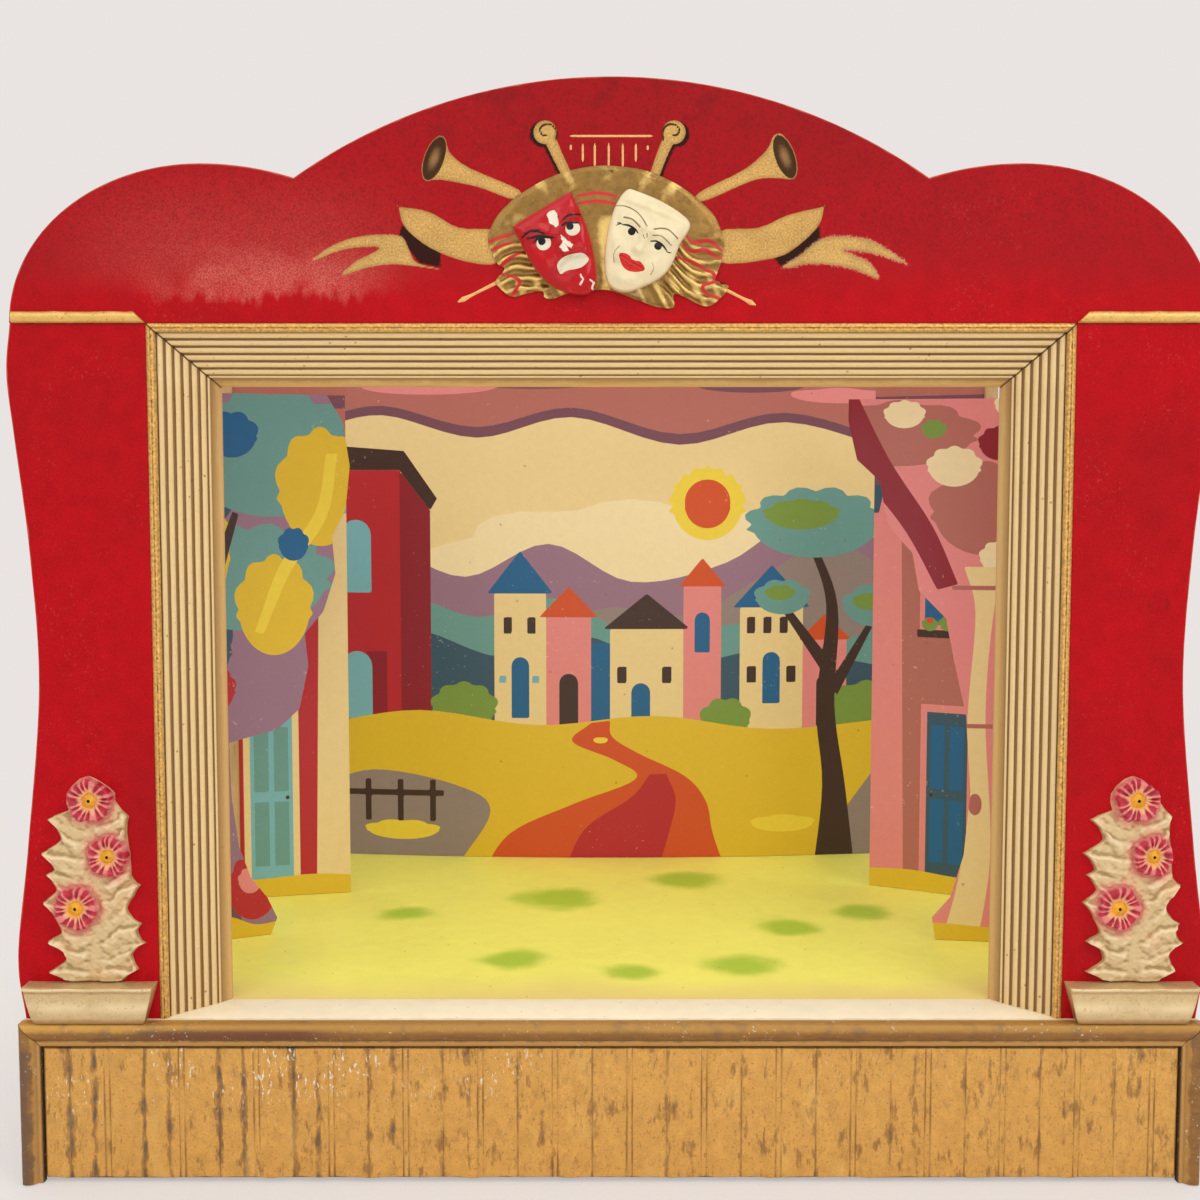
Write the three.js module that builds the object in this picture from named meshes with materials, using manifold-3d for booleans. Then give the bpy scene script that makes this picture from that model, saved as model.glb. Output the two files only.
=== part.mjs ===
// A table-top puppet theatre. A painted facade with a fluted proscenium frame
// stands on a shallow stage box. Scenery wings of card stand in slotted posts
// that turn in the deck, a bowed backdrop stands in two rear channels, and the
// arched header lifts off.
//
// Millimetres. X runs to the viewer's right, Y away from the audience and Z up.
// Inside the theatre group the facade's front face is Y = 0 and the table is
// Z = 0; the group then centres the whole depth on the origin.
import * as THREE from 'three';
import { mergeVertices } from 'three/addons/utils/BufferGeometryUtils.js';
import Module from 'manifold-3d';

const wasm = await Module();
wasm.setup();

// Clearances
const seatGap = 0.3; // between a loose piece and what it stands on or against
const slideGap = 0.5; // each side of a piece that slides in a channel
const socketGap = 0.4; // round a post's spigot in its socket
const overrun = 2; // how far a cutting tool runs past the wood

// Proscenium opening and its fluted frame
const openingWidth = 471;
const openingHeight = 378;
const frameReach = 34.5; // from the opening's edge out to the red panels
const frameDepth = 35; // how far the splayed face runs back
const frameHeel = 4; // wood behind the splayed face's inner edge
const sightFlat = 5; // plain strip at the inner edge, measured across the opening
const edgeBead = 5.2; // gilt bead at the outer edge, measured across the opening
const edgeBeadRise = 3.2;
const ribCount = 6;
const ribRise = 2;
const mitreGap = 0.3;

// Facade panels
const panelThickness = 8;
const sidePanelWaist = 67.7; // from the frame to the narrowest place of the outer edge
const sidePanelFlare = 16.8; // how far the hip stands out past the waist
const archRise = 57.1; // header's arch, from its ends to its crown
const archHalfSpan = 183;
const crownHeight = 140.1; // header's crown above the seam
const lobeRise = 8.2; // shoulder lobes above the arch's ends
const lobeCentreX = 237;

// Battens, tongues and gussets behind the facade
const battenWidth = 20;
const tongueWidth = 20;
const tongueThickness = 8;
const tongueDrop = 45;
const tongueRise = 40;
const keeperHeight = 60;
const keeperThickness = 4;
const headerBattenDepth = 16;
const gussetThickness = 8;
const gussetRun = 72;
const gussetRise = 130;
const gussetToe = 10;

// Gilt strips along the header's lower ends
const stripHeight = 7;
const stripDepth = 3.5;

// Stage box
const deckHeight = 98;
const deckThickness = 6;
const stageDepth = 440;
const apronDepth = 36;
const boardThickness = 9;
const ledge = 12; // the stage box stands this far in front of the facade
const boxMouldingThickness = 9;
const topMouldingHeight = 14.5;
const cornerMouldingWidth = 12.5;
const boxOverhang = 14.3; // stage box past the side panels' waist
const ribbedThickness = 4;
const ribbedGap = 1.2; // dark joint round the ribbed panel
const toeLift = 2; // front board and ribbed panel clear the table
const groovePitch = 22.3;
const grooveWidth = 1.8;
const grooveDepth = 1.1;
const twinSpacing = 3.2;

// Bearers and rails under the deck
const bearerWidth = 20;
const bearerHeight = 22;
const railWidth = 24;
const railHeight = 30;

// Wing posts and cards
const postOffset = 18; // post axis out from the frame's outer edge
const frontPostDepth = 155;
const rearPostDepth = 271;
const postRadius = 5;
const spigotRadius = 4;
const postRise = 396;
const plugHeight = 4; // solid foot of the post below the kerf
const kerfDepth = 7;
const cardThickness = 2;
const frontLeftReach = 113; // from the post's axis to the card's inner tip
const frontLeftHeight = 381;
const frontRightReach = 124;
const frontRightHeight = 377;
const rearLeftReach = 88.5;
const rearRightReach = 90;
const rearCardHeight = 400;

// Backdrop and what holds it
const backdropOverlap = 14.5; // past the opening's edge on each side
const backdropHeight = 425;
const backdropBow = 19.6; // its middle stands this far forward of the edges
const channelWidth = 5;
const guideWidth = 5;
const guideReach = 5;
const rearPostWidth = 16;
const rearPostDepthSize = 18;
const rearPostRise = 430;
const topRailHeight = 22;
const topRailThickness = 7;

// Planters and flower reliefs
const planterTopWidth = 77;
const planterBottomWidth = 66;
const planterHeight = 23;
const planterDepth = 15;
const planterInset = 1; // from the frame's gilt bead
const reliefWidth = 66;
const reliefHeight = 124;
const reliefBackThickness = 2.6;
const leafRise = 6.2;
const flowerRadius = 13.4;
const flowerRise = 7.5;
const petalCount = 12;

// Plaque and masks on the header
const plaqueWidth = 139;
const plaqueHeight = 81;
const plaqueThickness = 3.6;
const plaqueCentreX = -2.5;
const plaqueBottom = 5.7; // above the seam
const foldDepth = 2;
const maskRise = 6;
const maskRim = 2.6;
const tragedyWidth = 40;
const tragedyHeight = 55;
const tragedyX = -27.6;
const tragedyUp = 40; // mask's middle above the seam
const comedyWidth = 46;
const comedyHeight = 54;
const comedyX = 16.5;
const comedyUp = 41.3;

// Screws
const screwRadius = 3.2;
const screwRise = 1.4;

// Levels and lines that several pieces share
const deck = deckHeight;
const underDeck = deckHeight - deckThickness;
const openingTop = deck + openingHeight;
const seam = openingTop + frameReach;
const openingHalf = openingWidth / 2;
const backdropWidth = openingWidth + 2 * backdropOverlap;
const frameEdge = openingHalf + frameReach;
const waistHalf = frameEdge + sidePanelWaist;
const boxHalf = waistHalf + boxOverhang;
const boxInner = boxHalf - boardThickness;
const ledgeFront = -ledge;
const boardFront = ledgeFront + boxMouldingThickness;
const boardBack = boardFront + boardThickness;
const backBoardFront = stageDepth - boardThickness;
const frameBack = frameDepth + frameHeel;
const channelNear = frameEdge + battenWidth;
const channelFar = channelNear + tongueWidth + slideGap * 2;
const battenFar = channelFar + battenWidth;
const keeperFront = panelThickness + tongueThickness + slideGap;
const planterCentre = frameEdge + planterInset + planterTopWidth / 2;
const postX = frameEdge + postOffset;
const hands = [['left', -1], ['right', 1]];

// Paints and woods
const paint = (color, roughness, metalness = 0) => (
  () => new THREE.MeshStandardMaterial({ color, roughness, metalness })
);
const redPaint = paint(0xa0182a, 0.6);
const creamPaint = paint(0xd8c596, 0.55);
const agedGilt = paint(0xb08540, 0.45, 0.4);
const brownGilt = paint(0x8a6534, 0.5, 0.3);
const paleGilt = paint(0xc2ad7c, 0.4, 0.4);
const plasterCream = paint(0xdccfa6, 0.7);
const plaqueGilt = paint(0xa8843f, 0.5, 0.3);
const maskRed = paint(0xb8121f, 0.25);
const maskIvory = paint(0xe6dfc6, 0.35);
const floorPaint = paint(0xd8cf5e, 0.6);
const apronPaint = paint(0xe3d0a0, 0.6);
const bareWood = paint(0xc49a66, 0.75);
const plywood = paint(0xb58f63, 0.8);
const printedCard = paint(0xcfae8a, 0.8);
const steel = paint(0x9a9790, 0.35, 0.9);

const theatre = new THREE.Group();
theatre.position.y = (planterDepth - stageDepth) / 2;

function add(parent, name, geometry, finish) {
  const mesh = new THREE.Mesh(geometry, finish());
  mesh.name = name;
  parent.add(mesh);
}

// Turns a closed mesh inside out if its signed volume is negative.
function facingOut(geometry) {
  const bare = geometry.index ? geometry.toNonIndexed() : geometry;
  const spot = bare.attributes.position;
  const corner = [new THREE.Vector3(), new THREE.Vector3(), new THREE.Vector3()];
  let sixVolumes = 0;
  for (let i = 0; i < spot.count; i += 3) {
    corner.forEach((point, k) => point.fromBufferAttribute(spot, i + k));
    sixVolumes += corner[0].dot(corner[1].cross(corner[2]));
  }
  if (sixVolumes < 0) {
    for (let i = 0; i < spot.count; i += 3) {
      corner.forEach((point, k) => point.fromBufferAttribute(spot, i + k));
      spot.setXYZ(i + 1, corner[2].x, corner[2].y, corner[2].z);
      spot.setXYZ(i + 2, corner[1].x, corner[1].y, corner[1].z);
    }
  }
  bare.computeVertexNormals();
  return bare;
}

// A block between two planes on each axis.
function block(xs, ys, zs) {
  const cube = new THREE.BoxGeometry(1, 1, 1);
  const spot = cube.attributes.position;
  const pick = (range, value) => (value > 0 ? range[1] : range[0]);
  for (let i = 0; i < spot.count; i += 1) {
    spot.setXYZ(i, pick(xs, spot.getX(i)), pick(ys, spot.getY(i)), pick(zs, spot.getZ(i)));
  }
  return cube;
}

// A bar with the same outline at both ends, t = 0 and t = 1. The function
// `where` puts each outline point (a, b) of either end in space.
function bar(outline, where) {
  const shape = outline instanceof THREE.Shape
    ? outline
    : new THREE.Shape(outline.map(([a, b]) => new THREE.Vector2(a, b)));
  const geometry = new THREE.ExtrudeGeometry(shape, { depth: 1, bevelEnabled: false });
  const spot = geometry.attributes.position;
  for (let i = 0; i < spot.count; i += 1) {
    spot.setXYZ(i, ...where(spot.getX(i), spot.getY(i), spot.getZ(i)));
  }
  return facingOut(geometry);
}

// An upright plate: its outline lies in the facade's plane, from front to back.
function plate(outline, front, back) {
  return bar(outline, (x, z, t) => [x, t > 0 ? back : front, z]);
}

// A closed relief with a flat back. rim(angle) gives the outline's point and
// rise(u, v, share) the height there, where share runs from 0 in the middle to
// 1 at the rim. Rings of points close on the middle in front and behind.
function relief(rings, spokes, rim, rise) {
  const points = [];
  const faces = [];
  const centre = [0, 0];
  const put = (u, v, height) => points.push(u, v, height);
  put(...centre, rise(...centre, 0));
  for (let ring = 1; ring <= rings; ring += 1) {
    for (let spoke = 0; spoke < spokes; spoke += 1) {
      const [u, v] = rim((spoke / spokes) * Math.PI * 2);
      const share = ring / rings;
      put(u * share, v * share, rise(u * share, v * share, share));
    }
  }
  const front = 1 + (rings - 1) * spokes;
  for (let spoke = 0; spoke < spokes; spoke += 1) {
    put(...rim((spoke / spokes) * Math.PI * 2), 0);
  }
  const back = front + spokes;
  put(...centre, 0);
  for (let spoke = 0; spoke < spokes; spoke += 1) {
    const next = (spoke + 1) % spokes;
    faces.push(0, 1 + spoke, 1 + next);
    for (let ring = 1; ring <= rings; ring += 1) {
      const inner = 1 + (ring - 1) * spokes;
      const outer = inner + spokes;
      faces.push(inner + spoke, outer + spoke, outer + next);
      faces.push(inner + spoke, outer + next, inner + next);
    }
    faces.push(back + spokes, back + next, back + spoke);
  }
  const geometry = new THREE.BufferGeometry();
  geometry.setAttribute('position', new THREE.Float32BufferAttribute(points, 3));
  geometry.setIndex(faces);
  return facingOut(geometry);
}

// Stands a relief up against the facade: its height then points to the audience.
function standUp(geometry) {
  geometry.rotateX(Math.PI / 2);
  return geometry;
}

function solid(geometry) {
  const bare = geometry.clone();
  bare.deleteAttribute('normal');
  bare.deleteAttribute('uv');
  const joined = mergeVertices(bare);
  return new wasm.Manifold(new wasm.Mesh({
    numProp: 3,
    vertProperties: new Float32Array(joined.attributes.position.array),
    triVerts: new Uint32Array(joined.index.array),
  }));
}

function geometryOf(body) {
  const mesh = body.getMesh();
  const geometry = new THREE.BufferGeometry();
  geometry.setAttribute('position', new THREE.BufferAttribute(mesh.vertProperties, 3));
  geometry.setIndex(new THREE.BufferAttribute(mesh.triVerts, 1));
  geometry.computeVertexNormals();
  return geometry;
}

const joinAll = (bodies) => bodies.reduce((sum, body) => sum.add(body));

// The same range on either hand: the near and far distance from the middle.
const across = (hand, near, far) => (hand < 0 ? [-far, -near] : [near, far]);

// Fluted frame: the section runs from the opening's edge (s = 0) out to the
// panels, and back from the facade (d). Its face is splayed, with half-round
// ribs between a plain inner strip and a gilt outer bead.
const frameSection = (() => {
  const slope = frameDepth / frameReach;
  const normal = new THREE.Vector2(-slope, -1).normalize();
  const facePoint = (s) => [s, frameDepth - s * slope];
  const bump = (from, to, rise, steps) => {
    const points = [];
    for (let i = 0; i <= steps; i += 1) {
      const turn = (i / steps) * Math.PI;
      const s = from + ((to - from) * (1 - Math.cos(turn))) / 2;
      const lift = rise * Math.sin(turn);
      const [a, b] = facePoint(s);
      points.push([a + normal.x * lift, b + normal.y * lift]);
    }
    return points;
  };
  const ribSteps = 4;
  const beadSteps = 6;
  const ribsFrom = sightFlat;
  const ribsTo = frameReach - edgeBead;
  const pitch = (ribsTo - ribsFrom) / ribCount;
  const section = [[0, frameBack], facePoint(0)];
  for (let rib = 0; rib < ribCount; rib += 1) {
    const from = ribsFrom + rib * pitch;
    section.push(...bump(from, from + pitch, ribRise, ribSteps).slice(0, -1));
  }
  section.push(...bump(ribsTo, frameReach, edgeBeadRise, beadSteps));
  section.push([frameReach, frameBack]);
  return section;
})();

function sideFrame(hand) {
  return bar(frameSection, (s, d, t) => [
    hand * (openingHalf + s), d, t > 0 ? openingTop + s - mitreGap : deck,
  ]);
}

function topFrame() {
  return bar(frameSection, (s, d, t) => [
    (t > 0 ? 1 : -1) * (openingHalf + s - mitreGap), d, openingTop + s,
  ]);
}

// Outer edge of a side panel, from the deck to the seam: height as a share of
// the panel's height, and how far past the waist as a share of the flare.
const sideEdgeShares = [
  [0, 0.774], [0.092, 1], [0.256, 0.53], [0.484, 0],
  [0.677, 0.196], [0.837, 0.613], [0.93, 0.833], [1, 0.673],
];
const panelTop = seam - seatGap;

function sidePanelOutline(hand) {
  const edge = new THREE.SplineCurve(sideEdgeShares.map(([high, out]) => (
    new THREE.Vector2(waistHalf + out * sidePanelFlare, deck + high * (panelTop - deck))
  )));
  const edgeSteps = 28;
  const outline = edge.getPoints(edgeSteps).map(({ x, y }) => [hand * x, y]);
  outline.push([hand * frameEdge, panelTop], [hand * frameEdge, deck]);
  return outline;
}

// Header: a flat arch over the middle and a lobe over each shoulder. An arc is
// given by its top point, where it is level, and how far it falls over a span.
const headerCrown = seam + crownHeight;
const notchHeight = headerCrown - archRise;
const lobeTop = notchHeight + lobeRise;
const shoulderShare = sideEdgeShares[sideEdgeShares.length - 1][1];
const shoulderHalf = waistHalf + shoulderShare * sidePanelFlare;
const levelArc = (span, fall) => {
  const radius = (span * span + fall * fall) / (2 * fall);
  return (run) => radius - Math.sqrt(radius * radius - run * run);
};

function headerOutline() {
  const half = [];
  const lobeSteps = 14;
  const innerSteps = 5;
  const archSteps = 12;
  const innerArc = levelArc(lobeCentreX - archHalfSpan, lobeRise);
  const archArc = levelArc(archHalfSpan, archRise);
  for (let i = 0; i <= lobeSteps; i += 1) {
    const turn = (i / lobeSteps) * (Math.PI / 2);
    half.push([
      lobeCentreX + (shoulderHalf - lobeCentreX) * Math.cos(turn),
      seam + (lobeTop - seam) * Math.sin(turn),
    ]);
  }
  for (let i = 1; i <= innerSteps; i += 1) {
    const run = (i / innerSteps) * (lobeCentreX - archHalfSpan);
    half.push([lobeCentreX - run, lobeTop - innerArc(run)]);
  }
  for (let i = archSteps - 1; i >= 0; i -= 1) {
    const run = (i / archSteps) * archHalfSpan;
    half.push([run, headerCrown - archArc(run)]);
  }
  const mirrored = half.slice(0, -1).reverse().map(([x, z]) => [-x, z]);
  return [...half, ...mirrored];
}

// Stage box mouldings: across the face from its outer edge, and out from the
// board, both as shares.
const boxMouldingShares = [
  [0, 0], [0, 0.72], [0.1, 0.93], [0.3, 1], [0.52, 0.93], [0.74, 0.66], [1, 0.52], [1, 0],
];
const boxMouldingY = (out) => boardFront - out * boxMouldingThickness;

function topMoulding() {
  return bar(boxMouldingShares, (down, out, t) => [
    (t > 0 ? 1 : -1) * (boxHalf - down * cornerMouldingWidth - mitreGap),
    boxMouldingY(out),
    deck - down * topMouldingHeight,
  ]);
}

function cornerMoulding(hand) {
  return bar(boxMouldingShares, (inward, out, t) => [
    hand * (boxHalf - inward * cornerMouldingWidth),
    boxMouldingY(out),
    t > 0 ? deck - inward * topMouldingHeight - mitreGap : 0,
  ]);
}

// Ribbed front panel: single and twin vee grooves by turns, half a pitch off
// the middle.
function ribbedPanel() {
  const half = boxHalf - cornerMouldingWidth - ribbedGap;
  const front = boardFront - ribbedThickness;
  const outline = [[-half, boardFront], [-half, front]];
  const groove = (x) => outline.push(
    [x - grooveWidth / 2, front], [x, front + grooveDepth], [x + grooveWidth / 2, front],
  );
  const perSide = Math.floor((half - twinSpacing) / groovePitch + 0.5);
  for (let k = -perSide; k < perSide; k += 1) {
    const x = (k + 0.5) * groovePitch;
    if (k % 2) {
      groove(x);
    } else {
      groove(x - twinSpacing / 2);
      groove(x + twinSpacing / 2);
    }
  }
  outline.push([half, front], [half, boardFront]);
  const top = deck - topMouldingHeight - ribbedGap;
  return bar(outline, (x, y, t) => [x, y, t > 0 ? top : toeLift]);
}

// A deck or rail with round post sockets, seen from above.
function boredBoard(xs, ys, zs, sockets) {
  const board = new THREE.Shape([
    new THREE.Vector2(xs[0], ys[0]), new THREE.Vector2(xs[1], ys[0]),
    new THREE.Vector2(xs[1], ys[1]), new THREE.Vector2(xs[0], ys[1]),
  ]);
  const socketSides = 20;
  for (const [x, y] of sockets) {
    const ring = [];
    for (let i = 0; i < socketSides; i += 1) {
      const turn = (i / socketSides) * Math.PI * 2;
      const radius = spigotRadius + socketGap;
      ring.push(new THREE.Vector2(x + radius * Math.cos(turn), y + radius * Math.sin(turn)));
    }
    board.holes.push(new THREE.Path(ring));
  }
  return bar(board, (x, y, t) => [x, y, t > 0 ? zs[1] : zs[0]]);
}

const socketsAt = (y) => hands.map(([, hand]) => [hand * postX, y]);

// Planter: a belly with a lip, out from the panel and up, both as shares; it
// is wider at the top.
const planterShares = [
  [0, 0], [0.62, 0], [0.76, 0.1], [0.86, 0.32], [0.88, 0.55], [0.8, 0.78],
  [0.98, 0.84], [1, 0.92], [0.97, 1], [0, 1],
];

function planter(hand) {
  return bar(planterShares, (out, up, t) => {
    const width = planterBottomWidth + (planterTopWidth - planterBottomWidth) * up;
    return [hand * planterCentre + (t - 1 / 2) * width, -out * planterDepth, deck + up * planterHeight];
  });
}

// Flower relief, from its foot's middle: across as a share of its width, up as
// a share of its height. The outline's tips are leaf ends.
const foliageShares = [
  [-0.3, 0], [0.3, 0], [0.43, 0.067], [0.38, 0.13], [0.49, 0.193], [0.41, 0.235], [0.453, 0.281],
  [0.36, 0.34], [0.32, 0.4], [0.453, 0.469], [0.36, 0.53], [0.34, 0.64], [0.27, 0.74], [0.345, 0.821],
  [0.23, 0.86], [0.21, 0.93], [0.06, 0.995], [-0.12, 0.985], [-0.21, 0.9], [-0.19, 0.83], [-0.376, 0.796],
  [-0.27, 0.71], [-0.444, 0.63], [-0.32, 0.565], [-0.41, 0.515], [-0.33, 0.44], [-0.44, 0.39],
  [-0.34, 0.31], [-0.3, 0.25], [-0.406, 0.197], [-0.26, 0.105], [-0.4, 0.046],
];
// Leaves: tip across and up, root across and up, all as shares.
const leafShares = [
  [0.43, 0.07, 0, 0.1], [-0.4, 0.05, 0, 0.04], [0.49, 0.195, 0.05, 0.17], [-0.406, 0.2, 0, 0.15],
  [0.453, 0.283, 0.02, 0.27], [0.453, 0.47, 0.02, 0.4], [-0.41, 0.515, -0.02, 0.5],
  [-0.444, 0.63, 0, 0.6], [-0.376, 0.796, 0, 0.7], [0.345, 0.82, 0, 0.76],
];
const flowerShares = [[-0.005, 0.889], [0.162, 0.62], [-0.16, 0.377]];

// A leaf: a four-sided spearhead with a raised middle, from root to tip.
function leaf([tipX, tipZ, rootX, rootZ]) {
  const root = new THREE.Vector2(rootX * reliefWidth, rootZ * reliefHeight);
  const tip = new THREE.Vector2(tipX * reliefWidth, tipZ * reliefHeight);
  const along = tip.clone().sub(root);
  const length = along.length();
  const widthShare = 0.26;
  const bellyShare = 0.45;
  const tipThicknessShare = 0.5;
  const rim = (turn) => {
    const forward = Math.cos(turn) > 0 ? 1 - bellyShare : bellyShare;
    return [Math.cos(turn) * forward * length, Math.sin(turn) * widthShare * length];
  };
  const rise = (u, v, share) => leafRise * (1 - share * (1 - tipThicknessShare));
  const spokes = 8;
  const geometry = relief(1, spokes, rim, rise);
  geometry.translate(bellyShare * length, 0, 0);
  geometry.rotateZ(Math.atan2(along.y, along.x));
  geometry.translate(root.x, root.y, 0);
  return geometry;
}

// A flower: a dished disc with petals as scallops and a domed eye.
function flower([x, z]) {
  const scallopShare = 0.07;
  const spokesPerPetal = 2;
  const rings = 4;
  const rim = (turn) => {
    const radius = flowerRadius * (1 + scallopShare * Math.cos(turn * petalCount));
    return [radius * Math.cos(turn), radius * Math.sin(turn)];
  };
  const riseShares = [1, 0.8, 0.86, 1, 0.62];
  const rise = (u, v, share) => flowerRise * riseShares[Math.round(share * rings)];
  const geometry = relief(rings, petalCount * spokesPerPetal, rim, rise);
  geometry.translate(x * reliefWidth, z * reliefHeight, 0);
  return geometry;
}

function flowerRelief(hand) {
  const outline = foliageShares.map(([x, z]) => [x * reliefWidth, z * reliefHeight]);
  const backing = bar(outline, (x, z, t) => [x, z, t > 0 ? reliefBackThickness : 0]);
  const pieces = [backing, ...leafShares.map(leaf), ...flowerShares.map(flower)];
  const belowFoot = block(
    [-reliefWidth, reliefWidth], [-reliefWidth, 0], [-overrun, leafRise + flowerRise],
  );
  const cast = joinAll(pieces.map(solid)).subtract(solid(belowFoot));
  const geometry = standUp(geometryOf(cast));
  geometry.translate(hand * planterCentre, 0, deck + planterHeight + seatGap);
  return geometry;
}

// Plaque rim, from its middle: across and up as shares of width and height.
const plaqueShares = [
  [0.487, -0.02], [0.474, -0.141], [0.452, -0.278], [0.506, -0.309], [0.474, -0.39], [0.409, -0.452],
  [0.285, -0.364], [0.278, -0.458], [0.213, -0.458], [0.119, -0.402], [0.032, -0.347], [-0.041, -0.335],
  [-0.142, -0.352], [-0.222, -0.396], [-0.258, -0.39], [-0.269, -0.347], [-0.331, -0.359],
  [-0.396, -0.384], [-0.454, -0.309], [-0.462, -0.272], [-0.425, -0.19], [-0.454, -0.153],
  [-0.476, -0.079], [-0.494, 0.033], [-0.46, 0.17], [-0.407, 0.27], [-0.352, 0.345], [-0.23, 0.458],
  [-0.106, 0.519], [0.01, 0.533], [0.155, 0.502], [0.286, 0.407], [0.38, 0.295], [0.445, 0.183],
  [0.478, 0.059],
];
const plaqueMiddle = seam + plaqueBottom + plaqueHeight / 2;

function plaque() {
  const corners = plaqueShares.map(([x, z]) => new THREE.Vector2(x * plaqueWidth, z * plaqueHeight));
  const spokes = corners.length * 2;
  const roundOff = 1e-6;
  const rim = (turn) => {
    const place = (turn / (Math.PI * 2)) * corners.length;
    const index = Math.floor(place + roundOff);
    const from = corners[index % corners.length];
    const to = corners[(index + 1) % corners.length];
    const rest = place - index;
    return [from.x + (to.x - from.x) * rest, from.y + (to.y - from.y) * rest];
  };
  const foldCount = 17;
  const rise = (u, v, share) => {
    const fold = Math.cos(Math.atan2(v, u) * foldCount) * foldDepth * share ** 4;
    return plaqueThickness - (foldDepth * share ** 6 + Math.max(0, fold)) / 2;
  };
  const rings = 4;
  const geometry = standUp(relief(rings, spokes, rim, rise));
  geometry.translate(plaqueCentreX, 0, plaqueMiddle);
  return geometry;
}

// Masks: half outline from the forehead's middle down to the chin, across and
// up as shares of the mask's width and height.
const maskShares = [
  [0, 0.5], [0.3, 0.5], [0.49, 0.49], [0.5, 0.32], [0.49, 0.1], [0.44, -0.12], [0.33, -0.32],
  [0.2, -0.45], [0, -0.5],
];
const masks = [
  {
    name: 'tragedy_mask', finish: maskRed, lean: 26, frown: 1,
    size: [tragedyWidth, tragedyHeight], place: [tragedyX, tragedyUp],
  },
  {
    name: 'comedy_mask', finish: maskIvory, lean: -20.8, frown: -1,
    size: [comedyWidth, comedyHeight], place: [comedyX, comedyUp],
  },
];

function mask({ size: [width, height], place: [x, up], lean, frown }) {
  const half = new THREE.SplineCurve(maskShares.map(([a, b]) => new THREE.Vector2(a * width, b * height)));
  const spokes = 36;
  const rim = (turn) => {
    const share = turn / Math.PI;
    const point = half.getPoint(share <= 1 ? share : 2 - share);
    return [share <= 1 ? point.x : -point.x, point.y];
  };
  const eyeAcrossShare = 0.21;
  const eyeUpShare = 0.15;
  const eyeReachShare = 0.1;
  const mouthUpShare = -0.18;
  const mouthReachShare = 0.19;
  const mouthCurveShare = 0.7;
  const noseReachShare = 0.09;
  const noseRiseShare = 0.34;
  const hollowShare = 0.22;
  const rise = (u, v, share) => {
    const bulge = maskRise * Math.sqrt(Math.max(0, 1 - share ** 2.6));
    const pit = (du, dv, reach) => Math.exp(-((du * du + dv * dv) / (reach * reach)));
    const eye = pit(Math.abs(u) - eyeAcrossShare * width, v - eyeUpShare * height, eyeReachShare * width);
    const noseDown = Math.max(0, Math.abs(v) - noseReachShare * height);
    const nose = pit(u, noseDown, noseReachShare * width);
    const mouthSag = (frown * mouthCurveShare * u * u) / width;
    const mouth = pit(Math.max(0, Math.abs(u) - noseReachShare * width),
      v - mouthUpShare * height + mouthSag, mouthReachShare * width / 2);
    return maskRim + bulge + maskRise * (noseRiseShare * nose - hollowShare * (eye + mouth));
  };
  const rings = 7;
  const geometry = standUp(relief(rings, spokes, rim, rise));
  geometry.rotateY(-THREE.MathUtils.degToRad(lean));
  geometry.translate(x, -plaqueThickness - seatGap, seam + up);
  return geometry;
}

// Wing posts and cards. Each card's inner edge runs from its foot to its top:
// reach and height as shares.
const treeShares = [
  [0.46, 0], [0.5, 0.03], [0.44, 0.07], [0.34, 0.11], [0.27, 0.17], [0.23, 0.26], [0.22, 0.36],
  [0.34, 0.385], [0.52, 0.38], [0.66, 0.42], [0.72, 0.5], [0.7, 0.56], [0.82, 0.6], [0.9, 0.67],
  [0.88, 0.74], [0.97, 0.79], [1, 0.87], [0.96, 0.95], [0.86, 1],
];
const blossomShares = [
  [0.48, 0], [0.5, 0.04], [0.4, 0.08], [0.33, 0.16], [0.3, 0.28], [0.33, 0.42], [0.4, 0.52],
  [0.45, 0.6], [0.6, 0.65], [0.64, 0.72], [0.78, 0.77], [0.82, 0.85], [0.95, 0.89], [1, 0.96], [1, 1],
];
const cottageShares = [[1, 0], [1, 1]];
const wings = [
  {
    name: 'front_left', hand: -1, y: frontPostDepth, turn: 23.6,
    size: [frontLeftReach, frontLeftHeight], edge: treeShares,
  },
  {
    name: 'front_right', hand: 1, y: frontPostDepth, turn: 7.8,
    size: [frontRightReach, frontRightHeight], edge: blossomShares,
  },
  {
    name: 'rear_left', hand: -1, y: rearPostDepth, turn: 13,
    size: [rearLeftReach, rearCardHeight], edge: cottageShares,
  },
  {
    name: 'rear_right', hand: 1, y: rearPostDepth, turn: 28,
    size: [rearRightReach, rearCardHeight], edge: cottageShares,
  },
];
const kerfFloor = postRadius - kerfDepth;
const shoulder = deck + seatGap;
const plugTop = shoulder + plugHeight;

function wingPost() {
  const profile = [
    [0, underDeck - railHeight], [spigotRadius, underDeck - railHeight], [spigotRadius, shoulder],
    [postRadius, shoulder], [postRadius, deck + postRise], [0, deck + postRise],
  ];
  const postSides = 20;
  const dowel = new THREE.LatheGeometry(profile.map(([r, z]) => new THREE.Vector2(r, z)), postSides);
  dowel.rotateX(Math.PI / 2);
  const kerfHalf = cardThickness / 2 + seatGap;
  const kerf = block(
    [kerfFloor, postRadius + overrun], [-kerfHalf, kerfHalf], [plugTop, deck + postRise + overrun],
  );
  return geometryOf(solid(facingOut(dowel)).subtract(solid(kerf)));
}

function wingCard({ size: [reach, height], edge }) {
  const outer = kerfFloor + seatGap;
  const foot = postRadius + slideGap;
  const outline = edge.map(([a, b]) => [a * reach, shoulder + b * height]);
  outline.push([outer, shoulder + height], [outer, plugTop + seatGap]);
  outline.push([foot, plugTop + seatGap], [foot, shoulder]);
  return bar(outline, (s, z, t) => [s, (t - 1 / 2) * cardThickness, z]);
}

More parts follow.
